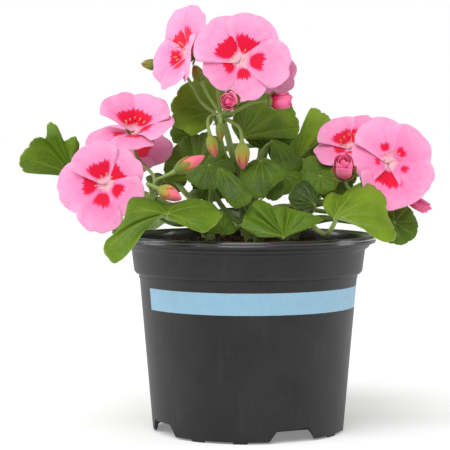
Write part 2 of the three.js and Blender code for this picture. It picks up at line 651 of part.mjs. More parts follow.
function mixGeometry() {
  const top = POT.height - MIX.edgeDrop;
  const ledge = POT.height - POT.collarDrop;
  const outer = POT.collarRadius - 1.2 - POT.wall - 0.6;
  const floor = POT.floorLift + 1.4;
  const profile = [
    [0, floor], [POT.footRadius - POT.wall - 0.9, floor], [POT.bodyTopRadius - POT.wall - 0.5, ledge + 0.6],
    [outer, ledge + 3.4], [outer + 0.2, top],
    ...[48, 38, 26, 13].map((r) => [r, mixHeight(r)]), [0, mixHeight(0)],
  ];
  let solid = toSolid(turned(profile.map(([r, z]) => new THREE.Vector2(r, z)), MIX.columns));
  for (const stem of Object.values(STEMS)) {
    const lean = sum([vec(stem.top), 1], [vec(stem.foot), -1]).normalize();
    const pocket = new THREE.CylinderGeometry(stem.radius + GAP, stem.radius + GAP, 60, 12);
    pocket.translate(0, 30 - GAP, 0);
    pocket.applyQuaternion(new THREE.Quaternion().setFromUnitVectors(new THREE.Vector3(0, 1, 0), lean));
    pocket.translate(...stem.foot);
    solid = solid.subtract(toSolid(pocket));
  }
  return toGeometry(solid);
}

// ---------------------------------------------------------------- assembly

function material(colour, roughness) {
  return new THREE.MeshStandardMaterial({ color: colour, roughness, metalness: 0 });
}

const FINISH = {
  pot: material(COLOURS.pot, 0.4),
  mix: material(COLOURS.mix, 0.95),
  stem: material(COLOURS.stem, 0.6),
  leaf: material(COLOURS.leaf, 0.55),
  petal: material(COLOURS.petal, 0.6),
  bud: material(COLOURS.bud, 0.6),
};

const plant = new THREE.Group();

function addPiece(name, geometry, finish) {
  const mesh = new THREE.Mesh(geometry, finish);
  mesh.name = name;
  plant.add(mesh);
}

function addAll(plan, build, finish) {
  for (const [name, entry] of Object.entries(plan)) addPiece(name, build(entry), finish);
}

addPiece("pot", potGeometry(), FINISH.pot);
addPiece("potting_mix", mixGeometry(), FINISH.mix);
addAll(STEMS, stemGeometry, FINISH.stem);
addAll(LEAVES, leafGeometry, FINISH.leaf);
addAll(FLOWER_STALKS, flowerStalkGeometry, FINISH.stem);
addAll(FLOWERS, flowerGeometry, FINISH.petal);
addAll(BUDS, budGeometry, FINISH.bud);

export default plant;
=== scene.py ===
"""The looks of a potted zonal geranium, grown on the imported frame.

Each plant piece of the frame is a closed grid: rows of points that run from a pole on the blade, the petals
or the bud's tip, down the stalk, to a pole at the stalk's end. Those rows are read back here, and the fine
leaf, flower, bud or stalk is drawn through them, so it stays where the frame has it.
"""

import json
import math

import bpy
import numpy as np
from mathutils import Matrix, Vector

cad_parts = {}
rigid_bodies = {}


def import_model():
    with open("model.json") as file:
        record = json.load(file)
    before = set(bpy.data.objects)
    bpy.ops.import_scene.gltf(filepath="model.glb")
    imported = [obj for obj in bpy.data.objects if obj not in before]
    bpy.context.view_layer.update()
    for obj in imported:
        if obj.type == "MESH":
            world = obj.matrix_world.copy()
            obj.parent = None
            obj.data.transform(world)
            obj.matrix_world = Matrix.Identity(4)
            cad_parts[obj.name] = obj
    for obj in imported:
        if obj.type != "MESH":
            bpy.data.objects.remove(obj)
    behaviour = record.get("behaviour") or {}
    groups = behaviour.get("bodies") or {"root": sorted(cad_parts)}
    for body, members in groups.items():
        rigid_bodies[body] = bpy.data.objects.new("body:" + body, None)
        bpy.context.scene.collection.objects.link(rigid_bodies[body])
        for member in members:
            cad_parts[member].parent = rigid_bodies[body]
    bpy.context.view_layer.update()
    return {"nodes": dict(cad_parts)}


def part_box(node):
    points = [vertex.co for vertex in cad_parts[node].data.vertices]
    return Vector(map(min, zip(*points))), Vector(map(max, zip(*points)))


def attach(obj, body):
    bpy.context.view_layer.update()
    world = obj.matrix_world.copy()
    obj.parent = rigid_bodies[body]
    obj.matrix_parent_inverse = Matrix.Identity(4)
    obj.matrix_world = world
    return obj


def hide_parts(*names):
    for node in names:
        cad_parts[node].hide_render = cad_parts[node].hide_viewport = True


MM = 0.001
TURN = 2 * math.pi

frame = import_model()
LIP, _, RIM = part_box("pot")[1]  # the pot's outer radius and its height


# ------------------------------------------------------------------ materials


def srgb(red, green, blue):
    """A colour given as 0-255, in the linear light that the shaders use."""
    light = [c / 255 / 12.92 if c <= 10 else ((c / 255 + 0.055) / 1.055) ** 2.4 for c in (red, green, blue)]
    return (*light, 1.0)


class Value:
    """A socket in a material. Arithmetic on it adds Math nodes."""

    def __init__(self, paint, socket):
        self.paint = paint
        self.socket = socket

    def math(self, operation, *others):
        inputs = dict(enumerate((self, *others)))
        return self.paint.add("ShaderNodeMath", {"operation": operation}, inputs)

    def __add__(self, other):
        return self.math("ADD", other)

    __radd__ = __add__

    def __mul__(self, other):
        return self.math("MULTIPLY", other)

    __rmul__ = __mul__

    def __sub__(self, other):
        return self.math("SUBTRACT", other)

    def __rsub__(self, other):
        return self.paint.add("ShaderNodeMath", {"operation": "SUBTRACT"}, {0: other, 1: self})

    def __truediv__(self, other):
        return self.math("DIVIDE", other)

    def __pow__(self, other):
        return self.math("POWER", other)

    def __neg__(self):
        return self * -1.0

    def __abs__(self):
        return self.math("ABSOLUTE")

    def fract(self):
        return self.math("FRACT")

    def at_least(self, other):
        return self.math("MAXIMUM", other)

    def at_most(self, other):
        return self.math("MINIMUM", other)

    def rise(self, low, high):
        """0 below low, 1 above high, and smooth between. Low may be the larger, for a fall."""
        ends = {"From Min": min(low, high), "From Max": max(low, high)}
        ends |= {"To Min": 0.0, "To Max": 1.0} if low < high else {"To Min": 1.0, "To Max": 0.0}
        settings = {"interpolation_type": "SMOOTHSTEP"}
        return self.paint.add("ShaderNodeMapRange", settings, {"Value": self, **ends})


class Paint:
    """A material on the Principled shader, made node by node."""

    def __init__(self, name, **constants):
        self.material = bpy.data.materials.new(name)
        self.material.use_nodes = True
        self.tree = self.material.node_tree
        self.shader = self.tree.nodes["Principled BSDF"]
        for socket, value in constants.items():
            self.shader.inputs[socket.replace("_", " ").title().replace("Ior", "IOR")].default_value = value

    def add(self, kind, settings=None, inputs=None, output=0):
        """A new node: its settings are set first, then its sockets, by name, identifier or number."""
        node = self.tree.nodes.new(kind)
        for key, value in (settings or {}).items():
            setattr(node, key, value)
        for key, value in (inputs or {}).items():
            self.feed(self.find(node.inputs, key), value)
        return Value(self, self.find(node.outputs, output))

    @staticmethod
    def find(sockets, key):
        if isinstance(key, int):
            return sockets[key]
        return next((s for s in sockets if s.identifier == key), None) or sockets[key]

    def feed(self, socket, value):
        if isinstance(value, Value):
            self.tree.links.new(value.socket, socket)
        else:
            socket.default_value = value

    def place(self):
        return self.add("ShaderNodeTexCoord", output="Object")

    def uv(self):
        """The two numbers of the piece's own map."""
        flat = self.add("ShaderNodeUVMap", {"uv_map": "grown"})
        both = self.add("ShaderNodeSeparateXYZ", inputs={0: flat})
        return both, Value(self, both.socket.node.outputs[1])

    def axes(self):
        split = self.add("ShaderNodeSeparateXYZ", inputs={0: self.place()})
        return [Value(self, split.socket.node.outputs[k]) for k in range(3)]

    def trait(self, name):
        return self.add("ShaderNodeAttribute", {"attribute_name": name}, output="Fac")

    def noise(self, per_mm, detail=2.0, roughness=0.5, where=None):
        inputs = {"Vector": where or self.place(), "Scale": per_mm / MM}
        inputs |= {"Detail": detail, "Roughness": roughness}
        return self.add("ShaderNodeTexNoise", inputs=inputs)

    def cells(self, per_mm):
        """The distance from the walls between small cells."""
        inputs = {"Vector": self.place(), "Scale": per_mm / MM}
        return self.add("ShaderNodeTexVoronoi", {"feature": "DISTANCE_TO_EDGE"}, inputs)

    def blend(self, share, first, second):
        """Colours mixed: first where share is 0, second where it is 1."""
        inputs = {"Factor_Float": share, "A_Color": first, "B_Color": second}
        return self.add("ShaderNodeMix", {"data_type": "RGBA"}, inputs, output="Result_Color")

    def stretched(self, *factors):
        settings = {"operation": "MULTIPLY"}
        return self.add("ShaderNodeVectorMath", settings, {0: self.place(), 1: factors})

    def flat_pair(self, first, second):
        return self.add("ShaderNodeCombineXYZ", inputs={0: first, 1: second})

    def surface(self, colour, roughness, height=None, depth_mm=0.1, strength=0.5):
        """The finished material. The height, from 0 to 1, is how far it stands out."""
        self.feed(self.shader.inputs["Base Color"], colour)
        self.feed(self.shader.inputs["Roughness"], roughness)
        if height is not None:
            inputs = {"Strength": strength, "Distance": depth_mm * MM, "Height": height}
            self.feed(self.shader.inputs["Normal"], self.add("ShaderNodeBump", inputs=inputs))
        return self.material


LOBES = 7  # of a leaf, each with a main vein down its middle


def vein_lines(across, outward, wide):
    """1 on a leaf's veins. Across runs from one side of the notch to the other, outward to the margin."""
    lobe = abs((across * LOBES).fract() - 0.5)
    lines = (lobe * outward).rise(0.020 * wide, 0.004 * wide)
    for fork, slope, width, share in ((0.34, 0.42, 0.013, 0.75), (0.62, 0.5, 0.011, 0.6)):
        side = (abs(lobe - (outward - fork) * slope) * outward).rise(width * wide, 0.003 * wide)
        lines = lines.at_least(side * outward.rise(fork - 0.01, fork + 0.03) * share)
    return lines


def leaf_paint(name, dark, middle, light, vein, vein_share, gloss, hollow):
    paint = Paint(name, specular_ior_level=0.25)
    across, outward = paint.uv()
    veins = vein_lines(across, outward, 1.0)
    broad = vein_lines(across, outward, 3.2)
    blotches = paint.noise(0.09, 3.0)
    cells = paint.cells(0.42)
    # The per-leaf tone is partly the leaf's own colour and partly painted shade on leaves deep in the plant
    # and painted light on lit leaves.
    tone = paint.trait("tone") + (blotches - 0.5) * 0.8 + (outward - 0.5) * 0.2
    colour = paint.blend(tone.rise(-0.1, 0.5), dark, middle)
    colour = paint.blend(tone.rise(0.45, 1.15), colour, light)
    colour = paint.blend(cells.rise(0.09, 0.0) * 0.14, colour, vein)
    halo = broad * (1.1 - outward) * 0.25 * vein_share
    fade = (veins * (1.15 - outward) * vein_share).at_most(1.0)
    heart = outward.rise(0.10, 0.0) * 0.7
    edge = outward.rise(0.965, 0.997) * 0.5
    for share in (halo, fade, heart, edge):
        colour = paint.blend(share, colour, vein)
    grain = paint.noise(1.6, 2.0)
    rough = gloss + (blotches - 0.5) * 0.2 + grain * 0.1
    height = cells.rise(0.0, 0.35) * 0.4 - broad * hollow + grain * 0.15
    return paint.surface(colour, rough, height, depth_mm=0.22, strength=0.6)


def petal_paint():
    """Pink, paler at the margin, with a fringed red mark above a pale and veined throat."""
    paint = Paint("petal_pink", sheen_weight=0.15, sheen_roughness=0.5, specular_ior_level=0.15)
    across, outward = paint.uv()
    mark = paint.trait("mark")
    tone = paint.trait("tone")
    aside = abs(across - 0.5) * 2.0
    fringe = paint.noise(0.9, 2.0, where=paint.flat_pair(across * 0.030, outward * 0.003))
    patch = paint.noise(0.3, 2.0)
    # Each petal's random tone sets its pink between a shaded pink and a lit pink: painted shade and painted
    # light.
    pink = paint.blend(tone.rise(0.0, 1.0), srgb(243, 118, 176), srgb(250, 158, 205))
    pale = (outward.rise(0.4, 1.0) * 0.5 + aside.rise(0.65, 1.0) * 0.3).at_most(1.0)
    pink = paint.blend(pale, pink, srgb(253, 186, 222))
    pink = paint.blend((patch - 0.45).at_least(0.0) * 0.8, pink, srgb(232, 84, 152))
    lines = abs((across * 15.0).fract() - 0.5).rise(0.12, 0.0) * outward.rise(0.95, 0.4)
    pink = paint.blend(lines * 0.18, pink, srgb(222, 52, 124))
    shift = (outward - 0.34) + (fringe - 0.5) * 0.24 * outward.rise(0.28, 0.42)
    reach = abs(shift) / 0.18
    spread = aside / 0.66
    away = (reach**3.0 + spread**3.0) ** 0.333 + (1.0 - mark) * 0.8 + (patch - 0.5) * 0.25
    halo = away.rise(1.22, 0.92) * 0.85
    blot = away.rise(1.02, 0.86)
    red = paint.blend(fringe, srgb(242, 14, 66), srgb(222, 0, 44))
    colour = paint.blend(halo, pink, srgb(226, 28, 112))
    colour = paint.blend(blot, colour, red)
    colour = paint.blend(outward.rise(0.20, 0.08) * 0.75, colour, srgb(250, 214, 220))
    streaks = abs((across * 9.0).fract() - 0.5).rise(0.16, 0.03) * outward.rise(0.26, 0.18)
    colour = paint.blend(streaks * 0.75, colour, srgb(196, 24, 66))
    ribs = abs((across * 22.0).fract() - 0.5)
    height = ribs * 0.5 + patch * 0.5
    return paint.surface(colour, 0.66 - blot * 0.1, height, depth_mm=0.12, strength=0.4)


def stalk_paint(name, base, warm, tip_light):
    paint = Paint(name, sheen_weight=0.3, sheen_roughness=0.4, specular_ior_level=0.35)
    around, along = paint.uv()
    blush = paint.noise(0.16, 3.0)
    strands = paint.noise(1.2, 2.0, where=paint.flat_pair(around * 0.02, along * 0.001))
    colour = paint.blend(blush.rise(0.42, 0.72) * 0.7, base, warm)
    colour = paint.blend(strands * 0.4, colour, tip_light)
    dots = paint.noise(2.2, 2.0)
    return paint.surface(colour, 0.5 + strands * 0.15, dots + strands, depth_mm=0.08, strength=0.5)


def bud_paint(name, base, tip, streak):
    paint = Paint(name, sheen_weight=0.2, specular_ior_level=0.3)
    around, along = paint.uv()
    patch = paint.noise(0.5, 3.0)
    lines = abs((around * 12.0 + along * 1.5).fract() - 0.5)
    colour = paint.blend((along + (patch - 0.5) * 0.35).rise(0.25, 0.8), base, tip)
    colour = paint.blend(lines.rise(0.16, 0.0) * 0.35, colour, streak)
    return paint.surface(colour, 0.52 + patch * 0.12, lines + patch * 0.5, depth_mm=0.12, strength=0.5)


BAND_LOW, BAND_HIGH = 61.05, 71.45  # the printed band's lower and upper edge, in mm above the ground
BAND_LEFT, BAND_RIGHT = -62.7, 114.1  # its ends, in degrees round from the front
SHELL = 47.2 * MM  # farther out than this is the pot's outside, and nearer is its inside
LIP_GLOSS_MM = 2.7  # how far down from the rim the lip is glossy


def pot_paint():
    """Black moulded plastic with a plain pale-blue band printed round its front and right side."""
    paint = Paint("black_pot_plastic", specular_ior_level=0.4, coat_roughness=0.12)
    x, y, z = paint.axes()
    height_mm = z / MM
    angle = paint.add("ShaderNodeMath", {"operation": "ARCTAN2"}, {0: x, 1: -y}) * (180 / math.pi)
    scuff = paint.noise(0.05, 4.0)
    streaks = paint.noise(0.3, 3.0, where=paint.stretched(1.0, 1.0, 0.12))
    grit = paint.noise(2.4, 2.0)
    black = paint.blend(scuff.rise(0.35, 0.7), srgb(17, 17, 18), srgb(31, 30, 31))
    black = paint.blend(streaks.rise(0.55, 0.8) * 0.25, black, srgb(58, 56, 56))
    dust = paint.noise(0.9, 4.0).rise(0.62, 0.8) * 0.18
    black = paint.blend(dust, black, srgb(120, 115, 108))
    wobble = (paint.noise(0.6, 2.0) - 0.5) * 0.25
    uneven = height_mm + wobble
    inked = uneven.rise(BAND_LOW - 0.1, BAND_LOW + 0.1) * uneven.rise(BAND_HIGH + 0.1, BAND_HIGH - 0.1)
    inked = inked * (angle + wobble).rise(BAND_LEFT - 0.2, BAND_LEFT + 0.2)
    inked = inked * angle.rise(BAND_RIGHT + 0.1, BAND_RIGHT - 0.1)
    inked = inked * (x * x + y * y).math("SQRT").rise(SHELL - 0.2 * MM, SHELL + 0.2 * MM)
    ink = paint.blend(paint.noise(0.25, 3.0), srgb(134, 176, 202), srgb(150, 190, 212))
    ink = paint.blend(paint.noise(3.0, 2.0).rise(0.7, 0.85) * 0.2, ink, srgb(98, 138, 164))
    colour = paint.blend(inked, black, ink)
    rough = (0.36 + scuff * 0.14 + streaks * 0.06) * (1.0 - inked) + inked * 0.5
    height = grit * 0.4 + scuff + inked * 0.35
    lip = height_mm.rise(RIM / MM - LIP_GLOSS_MM - 0.5, RIM / MM - LIP_GLOSS_MM + 0.5)
    rough = rough - lip * 0.14
    paint.feed(paint.shader.inputs["Coat Weight"], lip * 0.9)
    return paint.surface(colour, rough, height, depth_mm=0.12, strength=0.35)


def mix_paint(name, dark, light, per_mm):
    paint = Paint(name, specular_ior_level=0.2)
    clods = paint.noise(per_mm, 5.0, 0.65)
    fine = paint.noise(per_mm * 5, 3.0, 0.6)
    colour = paint.blend(clods.rise(0.35, 0.68), dark, light)
    colour = paint.blend(fine.rise(0.62, 0.8) * 0.5, colour, srgb(120, 92, 66))
    return paint.surface(colour, 0.82 + fine * 0.15, clods + fine * 0.6, depth_mm=0.8, strength=0.9)


def floor_paint():
    paint = Paint("pale_floor", specular_ior_level=0.1, emission_strength=0.22, emission_color=(1, 1, 1, 1))
    tint = paint.noise(0.004, 2.0)
    colour = paint.blend(tint, srgb(250, 250, 249), srgb(246, 246, 246))
    return paint.surface(colour, 0.75 + tint * 0.1)


PAINTS = {
    "leaf_upper": leaf_paint(
        "leaf_upper", srgb(36, 60, 8), srgb(76, 108, 10), srgb(120, 150, 24), srgb(148, 172, 60),
        vein_share=0.5, gloss=0.42, hollow=0.8,
    ),
    "leaf_under": leaf_paint(
        "leaf_underside", srgb(78, 102, 44), srgb(112, 138, 64), srgb(142, 164, 84), srgb(172, 190, 116),
        vein_share=0.9, gloss=0.62, hollow=-0.9,
    ),
    "petal": petal_paint(),
    "stalk": stalk_paint("leaf_stalk", srgb(122, 152, 66), srgb(134, 138, 72), srgb(164, 188, 104)),
    "stem": stalk_paint("old_stem", srgb(96, 122, 52), srgb(112, 96, 60), srgb(140, 150, 92)),
    "sepal": bud_paint("sepal_green", srgb(100, 128, 40), srgb(146, 132, 44), srgb(150, 72, 44)),
    "closed_petal": bud_paint("furled_petal", srgb(236, 150, 104), srgb(246, 112, 136), srgb(214, 60, 88)),
    "pale_sepal": bud_paint("ripe_sepal", srgb(146, 158, 54), srgb(206, 146, 74), srgb(186, 90, 44)),
    "rose_petal": bud_paint("rosebud_petal", srgb(238, 30, 92), srgb(255, 120, 172), srgb(226, 20, 76)),
    "filament": bud_paint("stamen_stalk", srgb(206, 190, 120), srgb(226, 150, 120), srgb(190, 60, 60)),
    "anther": bud_paint("anther", srgb(150, 84, 40), srgb(190, 120, 60), srgb(120, 40, 26)),
    "pot": pot_paint(),
    "mix": mix_paint("potting_mix", srgb(24, 17, 12), srgb(62, 46, 32), 0.35),
    "bark": mix_paint("bark_chips", srgb(46, 31, 20), srgb(104, 74, 48), 0.8),
    "perlite": mix_paint("perlite", srgb(150, 142, 130), srgb(196, 190, 178), 0.9),
    "floor": floor_paint(),
}


# ------------------------------------------------------------------ meshes


class Shape:
    """A mesh in the making, from sheets and tubes. Lengths are in metres."""

    def __init__(self):
        self.points, self.maps, self.tones, self.marks = [], [], [], []
        self.faces, self.finishes, self.slots = [], [], []
        self.count = 0

    def add(self, points, faces, finish, uv=None, tone=0.5, mark=0.0):
        """Adds points and the faces over them. Tone and mark are what the materials read there."""
        points = np.asarray(points, dtype=float).reshape(-1, 3)
        size = len(points)
        self.points.append(points)
        self.maps.append(np.zeros((size, 2)) if uv is None else np.reshape(uv, (-1, 2)))
        self.tones.append(np.broadcast_to(tone, size))
        self.marks.append(np.broadcast_to(mark, size))
        self.cover(faces, finish, self.count)
        self.count += size

    def cover(self, faces, finish, start):
        """Adds faces over points that are there already, numbered from start."""
        if finish not in self.finishes:
            self.finishes.append(finish)
        self.faces.extend([tuple(int(v) + start for v in face) for face in faces])
        self.slots.extend([self.finishes.index(finish)] * len(faces))

    def take(self, mesh, finish):
        self.add(mesh_points(mesh), [tuple(p.vertices) for p in mesh.polygons], finish)

    def piece(self, name, sharp=None):
        mesh = bpy.data.meshes.new(name)
        mesh.from_pydata(np.concatenate(self.points).tolist(), [], self.faces)
        for finish in self.finishes:
            mesh.materials.append(PAINTS[finish])
        mesh.polygons.foreach_set("material_index", self.slots)
        corners = np.empty(len(mesh.loops), dtype=np.int32)
        mesh.loops.foreach_get("vertex_index", corners)
        layer = mesh.uv_layers.new(name="grown")
        layer.data.foreach_set("uv", np.concatenate(self.maps)[corners].ravel())
        for trait, values in (("tone", self.tones), ("mark", self.marks)):
            mesh.attributes.new(trait, "FLOAT", "POINT").data.foreach_set("value", np.concatenate(values))
        mesh.validate()
        mesh.shade_smooth()
        if sharp:
            mesh.set_sharp_from_angle(angle=math.radians(sharp))
        return new_object(name, mesh)


def new_object(name, data):
    made = bpy.data.objects.new(name, data)
    bpy.context.scene.collection.objects.link(made)
    return made


def mesh_points(mesh):
    points = np.empty(len(mesh.vertices) * 3)
    mesh.vertices.foreach_get("co", points)
    return points.reshape(-1, 3)


def worked_out(item):
    """The mesh that an object has once its modifiers are worked out."""
    graph = bpy.context.evaluated_depsgraph_get()
    return bpy.data.meshes.new_from_object(item.evaluated_get(graph), depsgraph=graph)


def unit(v):
    return v / np.maximum(np.linalg.norm(v, axis=-1, keepdims=True), 1e-12)


def smooth(low, high, value):
    """0 below low, 1 above high, and smooth between."""
    share = np.clip((value - low) / (high - low), 0, 1)
    return share * share * (3 - 2 * share)


def spline(points, at):
    """A smooth curve through the points, read at places counted in points."""
    points = np.asarray(points, dtype=float)
    padded = np.concatenate([[2 * points[0] - points[1]], points, [2 * points[-1] - points[-2]]])
    at = np.asarray(at, dtype=float)
    start = np.clip(np.floor(at).astype(int), 0, len(points) - 2)
    t = (at - start).reshape(-1, *[1] * (points.ndim - 1))
    a, b, c, d = (padded[start + k] for k in range(4))
    return b + 0.5 * t * (c - a + t * (2 * a - 5 * b + 4 * c - d + t * (3 * (b - c) + d - a)))


def grid_faces(rows, columns, closed=False):
    """Quads over a grid. A closed one comes round to its first column, and faces the other way."""
    faces = []
    for top in range(0, (rows - 1) * columns, columns):
        low = top + columns
        for c in range(columns if closed else columns - 1):
            d = (c + 1) % columns
            face = (top + c, low + c, low + d, top + d)
            faces.append(face[::-1] if closed else face)
    return faces


def sheet_shares(rows, columns):
    """How far up a sheet each row is (0 to 1), how far aside each column is (-1 to 1), and its map."""
    v = np.linspace(0, 1, rows)[:, None]
    u = np.linspace(-1, 1, columns)[None, :]
    return v, u, np.stack(np.broadcast_arrays(u / 2 + 0.5, v), axis=-1)


def add_capped(shape, grid, ends, finish, uv=None, tone=0.5, length=1.0):
    """A closed surface: rows of points, with a pole before the first row and one after the last."""
    rows, sides = grid.shape[:2]
    count, last = rows * sides, (rows - 1) * sides
    faces = grid_faces(rows, sides, closed=True)
    faces += [(count, (k + 1) % sides, k) for k in range(sides)]
    faces += [(count + 1, last + k, last + (k + 1) % sides) for k in range(sides)]
    if uv is not None:
        uv = np.concatenate([uv.reshape(-1, 2), [[0.5, 0], [0.5, length]]])
    shape.add(np.concatenate([grid.reshape(-1, 3), ends]), faces, finish, uv, tone)


def sheet_normals(grid):
    down = np.gradient(grid, axis=0)
    along = np.gradient(grid, axis=1)
    return unit(np.cross(down, along))


def add_sheet(shape, grid, uv, thickness, upper, under=None, tone=0.5, mark=0.0):
    """A thin closed shell: the grid is its upper side, and its edge is thinned."""
    rows, columns, _ = grid.shape
    normals = sheet_normals(grid)
    share_r = np.minimum(np.arange(rows), rows - 1 - np.arange(rows))[:, None]
    share_c = np.minimum(np.arange(columns), columns - 1 - np.arange(columns))[None, :]
    inset = np.clip(np.minimum(share_r, share_c) / 2, 0.35, 1)
    low = grid - normals * (thickness * inset)[..., None]
    size = rows * columns
    faces = grid_faces(rows, columns)
    back = [tuple(v + size for v in reversed(face)) for face in faces]
    rim = [r * columns for r in range(rows)] + [(rows - 1) * columns + c for c in range(1, columns)]
    rim += [r * columns + columns - 1 for r in range(rows - 2, -1, -1)] + list(range(columns - 2, 0, -1))
    edge = [(a, a + size, b + size, b) for a, b in zip(rim, rim[1:] + rim[:1])]
    both = np.concatenate([grid.reshape(-1, 3), low.reshape(-1, 3)])
    maps = np.concatenate([uv.reshape(-1, 2)] * 2)
    start = shape.count
    shape.add(both, faces, upper, maps, tone, mark)
    shape.cover(back + edge, under or upper, start)


def add_tube(shape, path, radii, finish, sides=10, steps=36, flutes=0.0):
    """A closed stalk along a smooth path, with rounded ends. Its map runs along it in cm."""
    at = np.linspace(0, len(path) - 1, steps)
    centres = spline(path, at)
    widths = np.maximum(spline(np.asarray(radii, dtype=float)[:, None], at)[:, 0], 0.1 * MM)
    tangents = unit(np.gradient(centres, axis=0))
    side, _ = ring_axes(tangents[0])
    spans = np.linalg.norm(np.diff(centres, axis=0), axis=1)
    rings = []
    turn = np.arange(sides) / sides * TURN
    for centre, tangent, width in zip(centres, tangents, widths):
        side = unit(side - tangent * np.dot(side, tangent))
        bulge = width * (1 + flutes * np.cos(3 * turn))[:, None]
        rings.append(centre + bulge * round_axis(turn, (side, np.cross(tangent, side))))
    caps, tips = [], []
    for end, way in ((0, -1), (-1, 1)):
        ahead = tangents[end] * way * widths[end]
        caps.append(centres[end] + (rings[end] - centres[end]) * 0.6 + ahead * 0.35)
        tips.append(centres[end] + ahead * 0.5)
    along = np.cumsum([0, 0, *spans, 0])[:, None] / MM / 10
    uv = np.stack(np.broadcast_arrays(np.abs(turn / math.pi - 1), along), axis=-1)
    add_capped(shape, np.stack([caps[0], *rings, caps[1]]), tips, finish, uv, length=along[-1, 0])


def ring_axes(axis):
    """Two directions that are square to the axis and to each other."""
    first = unit(np.cross(axis, [0.31, 0.87, 0.39]))
    return first, np.cross(axis, first)


def round_axis(turn, axes):
    """The way out at each angle round an axis."""
    turn = np.asarray(turn)[..., None]
    return np.cos(turn) * axes[0] + np.sin(turn) * axes[1]


def wrapped(base, axis, height, girth, turn):
    """A grid of points round an axis, given by their height along it, their distance and their angle."""
    return base + height[..., None] * axis + girth[..., None] * round_axis(turn, ring_axes(axis))


# ------------------------------------------------------------------ reading the frame


def read_rows(node):
    """The rows of points of a grown piece of the frame, and the poles above and below them."""
    mesh = frame["nodes"][node].data
    points, index = np.unique(np.round(mesh_points(mesh), 7), axis=0, return_inverse=True)
    corners = np.empty(len(mesh.loops), dtype=np.int32)
    mesh.loops.foreach_get("vertex_index", corners)
    third, around = {}, {}
    for a, b, c in index.reshape(-1)[corners].reshape(-1, 3).tolist():
        for p, q, r in ((a, b, c), (b, c, a), (c, a, b)):
            third[p, q] = r
            around.setdefault(p, {})[q] = r
    top, foot = sorted(around, key=lambda p: len(around[p]))[-2:]
    rows = walk_rows(points, third, around, top)
    girth = [np.linalg.norm(row - row.mean(axis=0), axis=1).max() for row in rows]
    if max(girth[:3]) < max(girth[-3:]):
        top, foot = foot, top
        rows = walk_rows(points, third, around, top)
    return points[top], rows, points[foot]


def walk_rows(points, third, around, pole):
    """The rows from a pole on. Third gives the far corner of the triangle on each edge."""
    first = next(iter(around[pole]))
    row = [first]
    while around[pole][row[-1]] != first:
        row.append(around[pole][row[-1]])
    rows = []
    while len(set(row)) > 1:
        rows.append(points[row])
        row = [third[row[(k + 1) % len(row)], row[k]] for k in range(len(row))]
        row = row[-1:] + row[:-1]
    return rows


def start_at_notch(rows, rim):
    """Turns the rows so that column 0 is the deepest notch of the rim row."""
    reach = np.linalg.norm(rows[rim] - rows[0].mean(axis=0), axis=1)
    beside = (np.roll(reach, 1) + np.roll(reach, -1)) / 2
    turn = int(np.argmin(reach / beside))
    return [np.roll(row, -turn, axis=0) for row in rows]


def stalk_path(rows, foot, sunk):
    """Centres and radii down a stalk. Its end is sunk a little into what it grows from."""
    centres = [row.mean(axis=0) for row in rows]
    radii = [np.linalg.norm(row - row.mean(axis=0), axis=1).mean() for row in rows]
    way = unit(centres[-1] - centres[-2])
    return [*centres, foot + way * sunk], [*radii, radii[-1]]


# ------------------------------------------------------------------ leaves

LEAF_THICKNESS = 0.5 * MM
# tone: 0 dark, 1 light; partly each leaf's own colour and partly painted shade on leaves deep in the plant
# and painted light on lit ones. pleat: how deep the folds between the veins are. ruffle: how wavy the
# margin is.
# lobes: how far they stand out. grow: how much wider the blade is drawn than the frame has it.
LEAF_TRAITS = ("tone", "pleat", "ruffle", "lobes", "grow")
LEAF_LOOKS = {
    "leaf_far_left": (0.52, 0.02, 0.02, 0.035, 1.0),
    "leaf_front_left": (0.6, 0.03, 0.03, 0.03, 1.0),
    "leaf_front_right": (0.85, 0.03, 0.03, 0.03, 1.0),
    "leaf_front_middle": (0.5, 0.04, 0.03, 0.03, 1.0),
    "leaf_low_middle": (0.5, 0.05, 0.03, 0.03, 1.0),
    "leaf_small_dark": (0.0, 0.02, 0.02, 0.02, 1.0),
    "leaf_dark_right": (0.2, 0.03, 0.03, 0.03, 1.12),
    "leaf_lower_right": (0.4, 0.04, 0.03, 0.03, 1.15),
    "leaf_right_upper": (0.95, 0.03, 0.03, 0.03, 1.0),
    "leaf_right_curl": (0.5, 0.04, 0.05, 0.055, 1.0),
    "leaf_centre": (0.3, 0.03, 0.03, 0.03, 1.12),
    "leaf_centre_right": (0.2, 0.03, 0.03, 0.03, 1.12),
    "leaf_top_right": (0.6, 0.03, 0.03, 0.03, 1.0),
    "leaf_inner_right": (0.25, 0.03, 0.04, 0.055, 1.0),
    "leaf_inner_left": (0.2, 0.03, 0.04, 0.055, 1.1),
    "leaf_inner_low": (0.3, 0.03, 0.04, 0.055, 1.0),
    "leaf_top_left": (0.75, 0.035, 0.05, 0.055, 1.0),
}
PLAIN_LEAF = (0.4, 0.045, 0.055, 0.055, 1.0)


